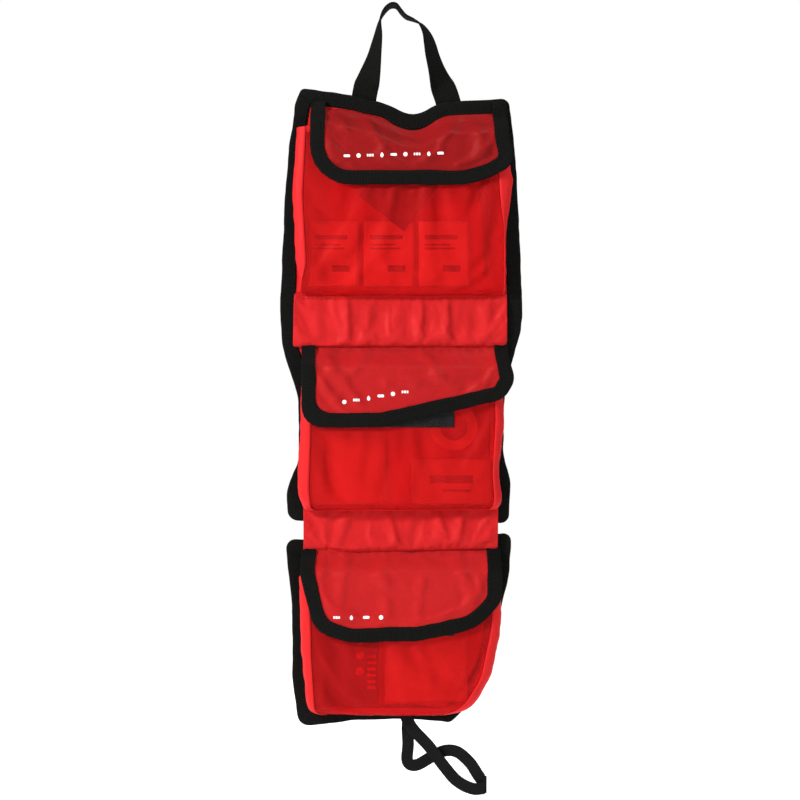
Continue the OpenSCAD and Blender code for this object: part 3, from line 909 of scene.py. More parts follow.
# Each pocket: the outline of its front, of its gusset's bulge and of its seam on the page,
# clockwise from the front's top left, and the height over which its front comes out
POCKETS = [
    dict(front=placed([(-76, -25, 1), (-34, -31, 60), (8, -50, 40), (44, -42, 60), (77, -38, 1),
                       (79, -80, 60), (82, -105, 60), (82.5, -159.5, 3), (-82, -159.5, 3), (-76, -135, 20),
                       (-79, -80, 80)], HEM_Z, NEAR_FRONT),
         bulge=placed([(-86, -27, 1), (-34, -31, 60), (8, -50, 40), (44, -42, 60), (87, -38, 1),
                       (93, -66, 30), (84, -108, 60), (83.5, -157.5, 3), (-78, -157.5, 3), (-86, -133, 20),
                       (-89.5, -80, 80)], HEM_Z, NEAR_BULGE),
         seam=placed([(-73, -25, 1), (-34, -31, 60), (8, -50, 40), (44, -42, 60), (75, -38, 1),
                      (78, -80, 60), (81, -105, 60), (82, -157.5, 3), (-82, -157.5, 3), (-80, -133, 20),
                      (-77, -80, 80)], HEM_Z),
         sides=(0, 4, 7, 8), rise=26, round=2.0,
         folds=[(-66, -222, -24, -156, 8, 4.5), (-74, -182, -54, -140, 7, 3.0),
                (-52, -222, -6, -164, 8, -3.4),
                (24, -146, 28, -218, 9, 3.0), (42, -150, 80, -206, 8, 3.6), (60, -148, 50, -168, 5, 3.0),
                (34, -160, 56, -214, 8, -2.6), (-34, -228, -28, -204, 5, 2.2), (-10, -206, 34, -214, 6, 2.6),
                (50, -228, 42, -204, 5, 2.4), (-2, -150, -16, -196, 8, 2.4), (-40, -206, 40, -222, 7, -2.0),
                (-74, -216, -60, -190, 5, 2.4)]),
    dict(front=placed([(-71.5, -20.5, 1), (74, -20.5, 1), (75.5, -58, 60), (73, -102, 40),
                       (74.5, -122, 20), (73, -131, 5), (-72, -132.5, 5), (-74, -115, 30),
                       (-72.5, -75, 80)], SEAM_Z[1], NEAR_FRONT),
         bulge=placed([(-82, -20.5, 1), (83, -20.5, 1), (85, -60, 40), (79.5, -102, 30), (82, -122, 20),
                       (80, -131, 5), (-79, -132, 5), (-86, -115, 20), (-84, -75, 60)],
                      SEAM_Z[1], NEAR_BULGE),
         seam=placed([(-71, -20.5, 1), (72, -20.5, 1), (71, -58, 60), (71, -102, 40), (74, -122, 20),
                      (73, -129.5, 5), (-73, -130.5, 5), (-76, -115, 30), (-71, -75, 80)], SEAM_Z[1]),
         sides=(0, 1, 5, 6), rise=13, round=3.0,
         folds=[(-60, -396, -58, -345, 5, 3.4), (34, -346, 62, -392, 9, 2.8), (-26, -350, -34, -392, 7, 2.4),
                (2, -398, 8, -366, 8, 2.2), (68, -342, 70, -390, 5, 2.6), (14, -344, 20, -364, 7, 2.0),
                (-46, -348, -48, -392, 6, -2.6), (22, -352, 40, -394, 8, -2.0),
                (-12, -392, -4, -360, 7, -2.0)]),
    dict(front=placed([(-73, -22, 1), (73, -22, 1), (72.5, -62, 60), (64, -104, 40), (49, -128, 30),
                       (32, -135, 20), (-69, -135, 8), (-72, -87, 100)], SEAM_Z[2], NEAR_FRONT),
         bulge=placed([(-84, -22, 1), (82, -22, 1), (82, -65, 60), (75, -101, 40), (59, -130, 30),
                       (36, -134.5, 20), (-76, -133, 8), (-82, -77, 100)], SEAM_Z[2], NEAR_BULGE),
         seam=placed([(-75, -22, 1), (74, -22, 1), (71, -62, 60), (62, -102, 40), (48, -121, 30),
                      (32, -128, 20), (-72, -127, 8), (-75, -87, 100)], SEAM_Z[2]),
         sides=(0, 1, 5, 6), rise=20, round=2.4,
         folds=[(-2, -510, 44, -556, 8, 3.6), (58, -498, 46, -532, 6, 3.2), (-56, -556, -58, -512, 5, 2.8),
                (68, -492, 62, -528, 5, 3.0), (-16, -558, 18, -550, 5, 2.2), (14, -508, 30, -524, 6, 2.2),
                (10, -510, 56, -548, 7, -2.8), (-44, -556, -44, -512, 6, -1.8),
                (54, -494, 50, -512, 5, -2.0)]),
]


def pocket_depth(k, foot):
    """How far out the front of pocket k is at (x, z)."""
    shape = POCKETS[k]
    full = POCKET_Y + 0.7

    def depth(x, z):
        s = np.clip((z - foot) / shape["rise"], 0, 1)
        out = (1 - (1 - s) ** shape["round"]) ** (1 / min(shape["round"], 2.2))
        return -1.9 + (full + 1.9) * out
    return depth


def pocket(k):
    page, shape = PAGES[k], POCKETS[k]
    right = shape["sides"][1]
    foot = min(p[1] for p in shape["front"])
    depth = pocket_depth(k, foot)
    rows = round((shape["front"][0][1] - foot) / 2.8)
    under_flap = corners(f"{page}_flap_binding")[0][2] + 4
    front = panel(f"{page}_pocket_cloth", shape["front"], depth, shape["folds"], RED_POCKET,
                  shape["sides"], size=(rows, 56), slack=0.03, push=0.3, cap=2.6, seed=40 + k,
                  rough=1.1, held=1, sunk=1.0,
                  limits=lambda x, z: (4.0, 0.3 + 1.6 * smooth_step((under_flap - z) / 12)))
    declare(front, "hung", [f"{page}_lining_cloth"], f"{page}_pocket_front")

    line, marks = rounded(shape["front"])
    bulge, _ = rounded(shape["bulge"], like=shape["front"])
    seam, _ = rounded(shape["seam"], like=shape["front"])
    ring = [i % len(line) for i in range(marks[right], marks[0] + len(line) + 1)]
    edge, bulge, seam = line[ring], bulge[ring], seam[ring]
    edge_y = depth(edge[:, 0], edge[:, 1])
    seam_y = np.full(len(ring), FRONT_Y - 0.3) + sway(seam[:, 0], seam[:, 1])
    t = np.linspace(0, 1, 9)[None, :, None]
    a = lift(edge, edge_y)[:, None]
    b = lift(bulge, edge_y * 0.92)[:, None]
    c = lift(bulge, edge_y * 0.35)[:, None]
    d = lift(seam, seam_y)[:, None]
    side = a * (1 - t) ** 3 + 3 * b * t * (1 - t) ** 2 + 3 * c * t * t * (1 - t) + d * t ** 3
    crease = waves(side[..., 2], side[..., 0] * 0.3, 18, 60 + k) * np.sin(np.pi * t[..., 0])
    side[..., 0] += np.sign(side[..., 0] - KIT_X) * 0.5 * crease
    gusset = cloth_grid(f"{page}_gusset_cloth", side[:, ::-1], RED_GUSSET)
    gusset["flat"] = (round(lengths(side, 1)[-1]) * MM, round(lengths(side, 0)[-1]) * MM)
    subdivide(gusset)
    thicken(gusset, 0.5)
    declare(gusset, "hung", [f"{page}_lining_cloth"], f"{page}_pocket_gusset")

    top = part_of(line, marks[0], marks[right])
    mouth = lift(top, depth(top[:, 0], top[:, 1]) + 0.25)
    hem_section = [(-0.75, 0.3), (0, 0.6), (0.75, 0.3), (0.8, -1), (0.75, -4.6), (0, -5), (-0.75, -4.6),
                   (-0.8, -1)]
    hem = sweep(f"{page}_mouth_hem", [[p + np.array([0, y, z]) for y, z in hem_section] for p in mouth],
                RED_GUSSET)
    finish_piece(hem, "red_nylon")
    stitch_row(f"{page}_red_stitches", mouth + np.array([0, -0.85, -3.8]))
    for obj in (front, gusset, hem):
        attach(obj, page + "_page")


def tube(name, line, radius, material, sides=8):
    """A thin round cord along a line of points."""
    line = np.asarray(line, float)
    rings = []
    for i, p in enumerate(line):
        along = unit(line[min(i + 1, len(line) - 1)] - line[max(i - 1, 0)])
        across = unit(np.cross(along, [0.0, 1.0, 0.0]))
        up = np.cross(across, along)
        rings.append([p + radius * (across * math.cos(a) + up * math.sin(a))
                      for a in np.arange(sides) * math.tau / sides])
    return sweep(name, rings, material)


for k in range(3):
    pocket(k)


# ---------------------------------------------------------------- flaps

# FLAP_OUT is how far out it hangs.
FLAP_OUT = FLAP_Y + 0.4
FLAPS = [
    dict(top=[(-72.6, 3, 1), (-44, 2, 60), (-17, -4, 50), (5, -15, 22), (25, -3, 40), (84, 0, 1)],
         rest=[(86.5, -28, 40), (91, -50, 14), (72, -62, 40), (51, -67.2, 30), (-73.6, -67, 32)],
         sides=(0, 5, 7, 10), name="top",
         folds=[(-22, -88, -6, -116, 5, 4.2), (-46, -84, -24, -118, 5, 3.6), (-14, -117, 14, -127, 5, 4.0),
                (14, -127, 40, -114, 5, 4.0), (52, -86, 34, -114, 5, 4.0), (62, -88, 72, -118, 8, 3.4),
                (-58, -84, -54, -116, 6, 3.0), (46, -130, 76, -112, 5, 3.0), (8, -106, 24, -112, 4, 3.2),
                (-34, -100, -20, -128, 5, -2.6), (30, -100, 20, -120, 5, -3.0),
                (2, -112, 10, -122, 5, -2.5)]),
    dict(top=[(-81.4, 8, 1), (85, 8, 1)],
         rest=[(87, -9, 15), (91, -28, 14), (82, -43, 16), (-14, -65, 60), (-80, -65.8, 40),
               (-80, -28, 60)],
         sides=(0, 1, 4, 6), name="middle",
         folds=[(-58, -274, -26, -314, 6, 4.2), (-66, -288, -36, -324, 5, 3.4), (-12, -302, 50, -292, 9, 3.2),
                (50, -316, 80, -288, 5, 3.6), (20, -274, 38, -294, 6, 3.0), (-20, -274, -36, -296, 6, 2.8),
                (-34, -322, 34, -316, 6, 2.0), (-44, -284, -18, -312, 5, -2.4),
                (56, -280, 72, -296, 6, -2.0)]),
    dict(top=[(-80.6, 11, 1), (80.5, 11, 1)],
         rest=[(80.5, -43, 18), (61, -64.5, 40), (15, -74, 60), (-42, -76, 34), (-70, -66, 22),
               (-80.6, -22, 30)],
         sides=(0, 1, 3, 6), name="bottom",
         folds=[(-38, -438, -44, -486, 7, 3.2), (-10, -440, -4, -484, 8, 3.0), (26, -438, 18, -480, 7, 3.0),
                (50, -436, 62, -474, 7, 3.4), (-58, -440, -60, -472, 5, 2.6), (12, -490, 52, -478, 5, 2.4),
                (-30, -452, 14, -460, 6, 2.0), (64, -444, 70, -470, 5, 2.4), (-22, -444, -26, -476, 6, -1.8),
                (38, -444, 38, -470, 6, -2.0)]),
]


def hem_inner(x):
    """The height of the top hem's inner edge at x."""
    line, marks = rounded(UPPER, TAPE_W)
    top = part_of(line, marks[0], marks[5])
    return np.interp(x, top[:, 0], top[:, 1])


def flap_depth(k, tuck=0.0):
    """How far out flap k is at (x, z). tuck puts its top under the seam."""
    seam_y = PIVOT[f"{PAGES[k]}_flap_lift"][1]

    def depth(x, z):
        start = hem_inner(x) if k == 0 else SEAM_Z[k]
        drop = start - z
        out = smooth_step(drop / (16 if k == 0 else 18))
        under = tuck * (1 - smooth_step((drop + 1.5) / 4))
        return seam_y + under + (FLAP_OUT - seam_y) * out
    return depth


def flap(k):
    shape = FLAPS[k]
    page = shape["name"]
    points = placed(shape["top"] + shape["rest"], SEAM_Z[k], NEAR_FLAP)
    free = lambda x, z: smooth_step(((hem_inner(x) if k == 0 else SEAM_Z[k]) - z) / 6)
    base = flap_depth(k)
    patch_low, patch_high = corners(f"{page}_loop_tape", f"{page}_hook_tape")
    off_patch = lambda x: 1.6 * smooth_step(np.maximum(patch_low[0] - x, x - patch_high[0]) / 8)
    slope = lambda x, z: 1 - smooth_step((FLAP_OUT + 8 - base(x, z)) / 8)
    cloth = panel(f"{page}_flap_cloth", points, flap_depth(k, 2.2 if k == 0 else 0.6), shape["folds"],
                  RED_FLAPS[k], shape["sides"], inset=6, size=(34, 60), slack=0.05, push=0.1, cap=2.8,
                  seed=50 + k, rough=1.5, held=2, top_free=free, under=5.2,
                  limits=lambda x, z: (0.4 + off_patch(x) + 2.6 * slope(x, z), 3.0))
    declare(cloth, "hung", [f"{page}_pocket_cloth"], f"{page}_flap")
    half = 1.05
    (x0, _, _), (x1, _, _) = shape["top"][0], shape["top"][-1]
    taped = placed([(x0, 24, 1), (x1, 24, 1)] + shape["rest"], SEAM_Z[k], NEAR_FLAP)
    top = SEAM_Z[k] + (-1 if k == 0 else 2)
    tape_piece = binding(f"{page}_flap_binding_tape", taped, base, half, (1, 0), 11.4, 70 + k, top)
    finish_piece(tape_piece, "binding_tape", f"{page}_flap_binding")
    key = f"{page}_flap_stitches"
    tape_stitches(key, taped, base, half, (1, 0), 9.8, 70 + k, top=top)
    stitches = sew(key, BLACK_THREAD)
    finish_piece(stitches, "binding_tape")
    for obj in (cloth, tape_piece, stitches):
        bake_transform(obj)


for k in range(3):
    flap(k)


# ---------------------------------------------------------------- strips between the pages

def strip_depth(top, low, rise, foot_y):
    """Cloth that is gathered in a seam at its top and foot and puffs out between them."""
    def depth(x, z):
        v = np.clip((top - z) / (top - low), 0, 1)
        gather = 0.7 * waves(x, x * 0, 13, 5, 2)
        ends = np.exp(-(v / 0.16) ** 2) + np.exp(-((1 - v) / 0.16) ** 2)
        puff = rise * np.sin(np.pi * np.clip(v, 0, 1)) ** 0.5
        edge = 1.2 * np.exp(-(v / 0.05) ** 2) + 1.0 * np.exp(-((1 - v) / 0.05) ** 2)
        return FRONT_Y - 1.1 + foot_y * v - puff - gather * ends * (1 - edge / 1.3) + edge
    return depth


def bend_halves(sheet, name, at, rests_on, node_name):
    """Splits a strip midway between its two folds, and bakes each half's place into its mesh."""
    flat = tuple(sheet["flat"])
    halves = cut_at(sheet, (at[0] + at[1]) / 2, f"{name}_upper", f"{name}_lower")
    for k, obj in enumerate(halves):
        obj["flat"] = (flat[0], flat[1] / 2)
        declare(obj, "gathered", rests_on, node_name)
        bend(obj)


def strips():
    top, low = FOLD_A + 2.5, FOLD_B - 2.5
    outline = placed([(-85.5, top, 1), (84.5, top, 1), (84.5, low + 4, 1), (83, low, 1), (-86.5, low, 1)], 0)
    ridges = [(KIT_X + x, top - 2, KIT_X + x + lean, low + 2, w, h)
              for x, lean, w, h in ((-68, 3, 7, 1.4), (-44, 2, 6, 2.2), (-25, -4, 7, 1.6), (-2, 2, 7, 1.6),
                                    (17, -2, 5, 1.7), (35, 3, 6, 2.0), (52, 2, 6, 1.4), (70, -3, 6, 1.6))]
    spine = panel("spine_strip", outline, strip_depth(top, low, 1.6, -1.4), ridges, RED_STRIP,
                  sides=(0, 1, 3, 4), size=(20, 84), slack=0.04, push=0.2, cap=2.2, seed=81, rough=0.8,
                  held=1)
    bend_halves(spine, "spine_strip", (FOLD_A, FOLD_B),
                ["upper_binding"], "spine_lining")

    top, low = corners("middle_pocket_gusset")[0][2] + 5, SEAM_Z[2] - 2.0
    outline = placed([(-78, top, 1), (77.5, top, 1), (77, low + 2, 1), (-78, low - 2, 1)], 0)
    ridges = [(KIT_X + x, top - 3, KIT_X + x + lean, low + 2, w, h)
              for x, lean, w, h in ((-58, -4, 6, 1.6), (-40, -12, 6, 2.4), (-12, 10, 6, 2.2),
                                    (10, -6, 6, 1.4), (27, 12, 6, 2.4), (50, -8, 6, 2.2), (68, 4, 5, 1.4))]
    joining = panel("strip", outline, strip_depth(top, low, 1.8, -1.6), ridges, RED_STRIP,
                    size=(18, 80), slack=0.04, push=0.2, cap=2.2, seed=82, rough=0.8, held=1)
    bend_halves(joining, "joining_strip",
                (PIVOT["strip_fold"][2], PIVOT["bottom_page_fold"][2]),
                ["middle_binding", "bottom_binding_tape"], "joining_strip")


strips()


# ---------------------------------------------------------------- handle and elastic loop

# Each strap's width and thickness
HANDLE_TAPE, ELASTIC_TAPE = (20.0, 1.7), (9.5, 1.0)
# The carry handle's line: x and z, then its twist from facing front
HANDLE_ROUTE = [[-27, -86, 0], [-25.5, -76, 0], [-24, -67.6, 0], [-23, -63, 0], [-21, -56, 24],
                [-17, -40, 54], [-14, -24, 70], [-12.5, -12, 84], [-9, -4, 90], [-4, 0.8, 90],
                [1, 0.8, 90], [5, -4, 90], [9, -8, 88], [15, -10.5, 84], [21, -14, 78], [25.5, -21, 70],
                [28, -29, 62], [30, -38, 56], [33, -48, 48], [36, -57, 32], [38.6, -64, 8],
                [40.5, -69, 0], [43, -77, 0], [45, -86, 0]]
# The elastic loop's lines, x and z, behind and in front. Both run on past its fold, where they are cut.
REAR_RUN = [[11, -566], [10, -577], [10.5, -590], [10, -604], [17, -607], [30, -600], [40, -595.5],
            [50, -596.5], [60, -605], [66, -614], [70, -619.5], [74, -623.5], [80, -628]]
FRONT_RUN = [[8, -566], [14, -577], [27, -591], [40, -608], [50, -619], [62, -625], [72, -624.5],
             [80, -624]]
ELASTIC_FOLD_X, ELASTIC_FOLD_Z = 72.0, (-615.2, -628.6)


def strap(name, line, twist, size, material):
    """Flat webbing along a line of points, turned by twist degrees from facing front."""
    width, thickness = size
    rings = []
    for i, p in enumerate(line):
        d = line[min(i + 1, len(line) - 1)] - line[max(i - 1, 0)]
        along = unit(np.array([d[0], 0, d[2]]))
        flat = np.array([-along[2], 0, along[0]])
        a = math.radians(twist[i])
        across = flat * math.cos(a) + np.array([0, 1, 0]) * math.sin(a)
        through = np.cross(along, across)
        ring = []
        for u, v in ((-1, -0.4), (-0.96, -0.9), (-0.8, -1), (-0.3, -0.94), (0.3, -0.94), (0.8, -1),
                     (0.96, -0.9), (1, -0.4), (1, 0.4), (0.96, 0.9), (0.8, 1), (0.3, 0.94), (-0.3, 0.94),
                     (-0.8, 1), (-0.96, 0.9), (-1, 0.4)):
            ring.append(p + across * u * width / 2 + through * v * thickness / 2)
        rings.append(ring)
    return sweep(name, rings, material)


def handle():
    route = curve_through(HANDLE_ROUTE, 5)
    x, z, twist = route[:, 0], route[:, 1], route[:, 2]
    base_y = BACK_Y + 1.2
    f = smooth_step(-z / 62)
    line = np.stack([x, base_y * f, z], axis=1)
    webbing = strap("carry_handle_webbing", line, twist, HANDLE_TAPE, WEBBING)
    finish_piece(webbing, "handle_webbing", "carry_handle")
    feet_y = base_y + 1.0
    for cx, lean in ((-25.8, 0.16), (43.5, -0.28)):
        box = [(-7.5, -73), (7.5, -73), (7.5, -84), (-7.5, -84), (-7.5, -73), (7.5, -84),
               (-7.5, -84), (7.5, -73)]
        stitch_row("handle_stitches", [(cx + bx + lean * (bz + 78), feet_y, bz) for bx, bz in box], 1.0)
    stitches = sew("handle_stitches", BLACK_THREAD)
    finish_piece(stitches, "handle_webbing")
    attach(stitches, "top_page")
    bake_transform(webbing)


def elastic():
    runs = []
    for name, run, y0, y1 in (("rear", REAR_RUN, 2.2, 0.7), ("front", FRONT_RUN, -0.6, -0.5)):
        route = curve_through(run, 6)
        y = np.linspace(y0, y1, len(route))
        y += 1.6 * (-1 if name == "front" else 1) * np.sin(np.linspace(0, np.pi, len(route)))
        line = lift(route, y)
        ribbon = strap(name, line, np.zeros(len(route)), ELASTIC_TAPE, ELASTIC)
        changed(ribbon.data, lambda bm: bisected(bm, plane_co=(ELASTIC_FOLD_X * MM, 0, 0),
                                                 plane_no=(1, 0, 0), clear_outer=True))
        runs.append(ribbon)
    z = np.linspace(*ELASTIC_FOLD_Z, 8)
    roll = np.stack([np.full(8, ELASTIC_FOLD_X), np.full(8, 0.1), z], axis=1)
    runs.append(tube("roll", roll, 1.3, ELASTIC, 12))
    loop = face_out(join("elastic_loop_tape", runs, ELASTIC))
    finish_piece(loop, "elastic_tape", "elastic_loop")
    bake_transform(loop)


handle()
elastic()


# ---------------------------------------------------------------- hook and loop patches

def depth_of(obj, from_back=False):
    """A function that gives the depth of a piece's front (or back) at (x, z) arrays."""
    tree = surface_of(obj)
    start, way = (0.04, -1) if from_back else (-0.06, 1)

    def depth(x, z, fallback=0.0):
        found = np.full(np.shape(x), float(fallback))
        for i in np.ndindex(*np.shape(x)):
            hit = tree.ray_cast(Vector((x[i] * MM, start, z[i] * MM)), Vector((0, way, 0)))[0]
            if hit:
                found[i] = hit.y / MM
        return found
    return depth


def patches():
    """Loop patches lie on the pockets' fronts and hook patches on the flaps' backs."""
    for page in PAGES:
        for kind, cloth, body in (("loop_tape", "pocket_cloth", "page"), ("hook_tape", "flap_cloth", "flap")):
            low, high = corners(f"{page}_{kind}")
            on_flap = kind == "hook_tape"
            foot = low[2] + (0 if on_flap or page == "middle" else 6)
            z, x = np.meshgrid(np.linspace(high[2], foot, 10), np.linspace(low[0], high[0], 60),
                               indexing="ij")
            y = depth_of(bpy.data.objects[f"{page}_{cloth}"], on_flap)(x, z, (low[1] + high[1]) / 2)
            y += (0.85 if on_flap else -0.65) + 0.06 * waves(x, z, 4, 90)
            obj = cloth_grid(f"{page}_{kind}_patch", np.stack([x, y, z], axis=-1), PILE)
            thicken(obj, 0.7, -1.0 if not on_flap else 1.0)
            finish_piece(obj, "hook_loop_tape", f"{page}_{kind}")
            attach(obj, f"{page}_{body}")


patches()


# ---------------------------------------------------------------- what the pockets hold

def pillow(name, low, high, material, seal=4.0, seed=1, n=(22, 18)):
    """A sealed flat packet: two faces that swell between flat, crimped ends."""
    wide, deep, tall = np.array(high) - np.array(low)
    middle = (np.array(high) + np.array(low)) / 2
    v, u = np.meshgrid(np.linspace(-1, 1, n[0]), np.linspace(-1, 1, n[1]), indexing="ij")
    body = np.clip(1 - (np.abs(v) * tall / 2 - (tall / 2 - seal)).clip(0) / seal, 0, 1)
    swell = (1 - np.abs(u) ** 3.2) * body
    crimp = 0.12 * np.sin(v * tall * 2.4) * (body < 0.9)
    wrinkle = 0.10 * waves(u * wide / 2, v * tall / 2, 16, seed)
    x, z = u * wide / 2 * (1 - 0.02 * swell), v * tall / 2
    half = 0.3 + (deep / 2 - 0.3) * np.clip(swell + wrinkle, 0, 1)
    grids = [np.stack([x, side * half + crimp, z], axis=-1) + middle for side in (-1, 1)]
    rows, cols = n
    first = rows * cols
    faces = grid_faces(rows, cols) + [tuple(first + q for q in f[::-1]) for f in grid_faces(rows, cols)]
    rim = ([j for j in range(cols)] + [i * cols + cols - 1 for i in range(1, rows)]
           + [(rows - 1) * cols + j for j in range(cols - 2, -1, -1)]
           + [i * cols for i in range(rows - 2, 0, -1)])
    faces += [(rim[i], rim[(i + 1) % len(rim)], rim[(i + 1) % len(rim)] + first, rim[i] + first)
              for i in range(len(rim))]
    return face_out(add_mesh(name, np.concatenate([g.reshape(-1, 3) for g in grids]), faces,
                             material=material))


def bars(name, boxes, y, material):
    """Thin printed blocks on a packet's front, each (x, z, width, height)."""
    parts = []
    for x, z, w, h in boxes:
        line = [(x - w / 2, z + h / 2, 0.4), (x + w / 2, z + h / 2, 0.4), (x + w / 2, z - h / 2, 0.4),
                (x - w / 2, z - h / 2, 0.4)]
        flat, _ = rounded(line, step=4, arc_steps=3)
        parts.append(disc_from(flat, y, material))
    return join(name, parts, material)


def disc_from(flat, y, material, thickness=0.12):
    """A thin filled shape from its outline."""
    n = len(flat)
    front = lift(flat, np.full(n, y - thickness))
    back = front + np.array([0, thickness, 0])
    faces = [tuple(range(n)), tuple(range(2 * n - 1, n - 1, -1))]
    faces += [(i, i + n, (i + 1) % n + n, (i + 1) % n) for i in range(n)]
    obj = add_mesh("shape", np.concatenate([front, back]), faces, material=material)
    obj.data.polygons.foreach_set("use_smooth", [False] * len(obj.data.polygons))
    return face_out(obj)


def contents():
    low, high = corners("medicine_packets")
    packet_w = 40.0
    step = (high[0] - low[0] - packet_w) / 2
    made = []
    for i in range(3):
        x0 = low[0] + i * step
        pack = pillow(f"medicine_packet_{i + 1}", (x0, low[1], low[2]), (x0 + packet_w, high[1], high[2]),
                      PAPER, seed=100 + i)
        x, z = x0 + packet_w / 2, (low[2] + high[2]) / 2
        marks = bars(f"packet_print_{i + 1}", [(x - 2, z + 13, 26, 3.2), (x - 5, z + 7, 20, 1.2),
                                               (x - 3, z + 4, 24, 1.2), (x + 6, z - 12, 14, 5)],
                     low[1] - 0.05, PRINT)
        made += [(pack, "sachet_paper", "top_page", ("medicine_packets",) if i == 0 else ()),
                 (marks, "card_print", "top_page", ())]
    low, high = corners("blister_card")
    centre = (low + high) / 2
    made.append((blister(centre, 46.0, 38.0, low[1], high[1]), "blister_plastic", "top_page",
                 ("blister_card",)))
    low, high = corners("gauze_pads")
    made.append((pillow("gauze_pad_lower", (low[0] + 1, low[1], low[2]), (low[0] + 63, high[1], low[2] + 60),
                        GAUZE, seal=6, seed=110), "gauze_cotton", "middle_page", ("gauze_pads",)))
    made.append((pillow("gauze_pad_upper", (low[0], low[1] + 1.8, high[2] - 26), (high[0], high[1], high[2]),
                        PAPER, seal=4, seed=111), "sachet_paper", "middle_page", ()))
    low, high = corners("bandage_roll")
    made.append((bandage(low, high), "gauze_cotton", "middle_page", ("bandage_roll",)))
    made.append((bars("bandage_print", [((low[0] + high[0]) / 2, (low[2] + high[2]) / 2 + 2, 34, 6),
                                        ((low[0] + high[0]) / 2 + 4, (low[2] + high[2]) / 2 - 7, 22, 1.6)],
                      low[1] - 0.06, PRINT), "card_print", "middle_page", ()))
    low, high = corners("tape_roll")
    made.append((reel(low, high), "gauze_cotton", "middle_page", ("tape_roll",)))
    low, high = corners("glove_pouch")
    pouch_low, pouch_high = low + np.array([0, 0, 8]), high - np.array([20, 0, 0])
    made.append((pillow("glove_pouch_film", pouch_low, pouch_high, GLOVE_FILM, seal=7, seed=120, n=(34, 34)),
                 "sachet_paper", "bottom_page", ("glove_pouch",)))
    low, high = corners("info_card")
    made.append((folded_card(low + np.array([2, 0, 4]), high), "card_print", "bottom_page", ("info_card",)))
    x = (low[0] + high[0]) / 2
    top = high[2]
    dots = []
    for drop in (33, 45, 58):
        angle = np.linspace(0, math.tau, 24, endpoint=False)[::-1]
        dots.append(disc_from(np.stack([x + 13 + 3.4 * np.cos(angle), top + 10 - drop + 3.4 * np.sin(angle)],
                                       axis=1), low[1] - 0.02, CARD_DOTS))
    made.append((join("card_dot_marks", dots, CARD_DOTS), "card_print", "bottom_page", ()))
    made.append((bars("card_bars", [(x + 22, top - 36 - 5 * i, 7, 2.4) for i in range(6)], low[1] - 0.02,
                      CARD_DOTS), "card_print", "bottom_page", ()))
    for obj, slot, body, nodes in made:
        finish_piece(obj, slot, *nodes)
        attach(obj, body)
    steel = frame["nodes"]["tweezers"]
    steel.data.materials.clear()
    steel.data.materials.append(STEEL)
    bevel = steel.modifiers.new("worn_edges", "BEVEL")
    bevel.width, bevel.segments = 0.35 * MM, 2


def blister(centre, size, turn, front, back):
    """A dark foil card with two rows of domed blisters."""
    n = 56
    v, u = np.meshgrid(np.linspace(-1, 1, n), np.linspace(-1, 1, n), indexing="ij")
    dome = np.zeros_like(u)
    for cx in (-0.62, -0.2, 0.2, 0.62):
        for cz in (-0.5, 0.5):
            r = np.hypot((u - cx) / 0.17, (v - cz) / 0.3)
            dome = np.maximum(dome, np.sqrt(np.clip(1 - r * r, 0, 1)))
    a = math.radians(turn)
    x, z = u * size / 2, v * size / 2
    y = back - 0.5 - dome * (back - front - 0.5)
    grid = np.stack([centre[0] + x * math.cos(a) + z * math.sin(a), y,
                     centre[2] + z * math.cos(a) - x * math.sin(a)], axis=-1)
    obj = cloth_grid("tablet_blister_card", grid[::-1], BLISTER)
    return thicken(obj, 0.4)


def bandage(low, high):
    """A rolled bandage, pressed flat, with its layers showing at the ends."""
    _, deep, tall = high - low
    middle = (low + high) / 2
    rings = []
    for x in np.linspace(low[0], high[0], 28):
        end = min(x - low[0], high[0] - x)
        squeeze = 1 - 0.10 * math.exp(-end / 1.5)
        ring = []
        for a in np.linspace(0, math.tau, 40, endpoint=False):
            c, s = math.cos(a), math.sin(a)
            layer = 1 + 0.018 * math.sin(a * 3 + x * 0.2)
            ring.append((x, middle[1] + deep / 2 * squeeze * layer * math.copysign(abs(c) ** 0.55, c),
                         middle[2] + tall / 2 * squeeze * layer * math.copysign(abs(s) ** 0.8, s)))
        rings.append(ring)
    return sweep("bandage_roll_gauze", rings, GAUZE)


def reel(low, high):
    """A roll of surgical tape: a wound ring with fine layers on its faces, and its core."""
    middle = (low + high) / 2
    outer, inner = (high[0] - low[0]) / 2, (high[0] - low[0]) / 2 - 8
    profile = [(inner, -0.5), (inner, 0.5)]
    radii = np.linspace(inner + 0.4, outer - 0.2, 15)
    profile += [(r, 0.5 - 0.02 * (i % 2)) for i, r in enumerate(radii)]
    profile += [(outer, 0.46), (outer, -0.46)]
    profile += [(r, -0.5 + 0.02 * (i % 2)) for i, r in reversed(list(enumerate(radii)))]
    depth = high[1] - low[1]
    rings = []
    for a in np.linspace(0, math.tau, 72, endpoint=False):
        rings.append([(middle[0] + r * math.cos(a), middle[1] + y * depth, middle[2] + r * math.sin(a))
                      for r, y in profile])
    return sweep("surgical_tape_roll", rings, CORE, closed=True)


def folded_card(low, high):
    """A folded printed card: two leaves joined along their left edge."""
    deep = high[1] - low[1]
    section = [(0, -0.45), (0, 0.45), (1, 0.5), (1, 0.28), (0.02, 0.12), (0.02, -0.12), (1, -0.28), (1, -0.5)]
    rings = []
    for z in np.linspace(high[2], low[2], 24):
        bow = 0.15 * math.sin((z - low[2]) / (high[2] - low[2]) * math.pi)
        rings.append([(low[0] + u * (high[0] - low[0]), (low[1] + high[1]) / 2 + v * (deep - 0.3) + bow, z)
                      for u, v in section])
    return sweep("folded_info_card", rings, CARD)


contents()


# ---------------------------------------------------------------- seams

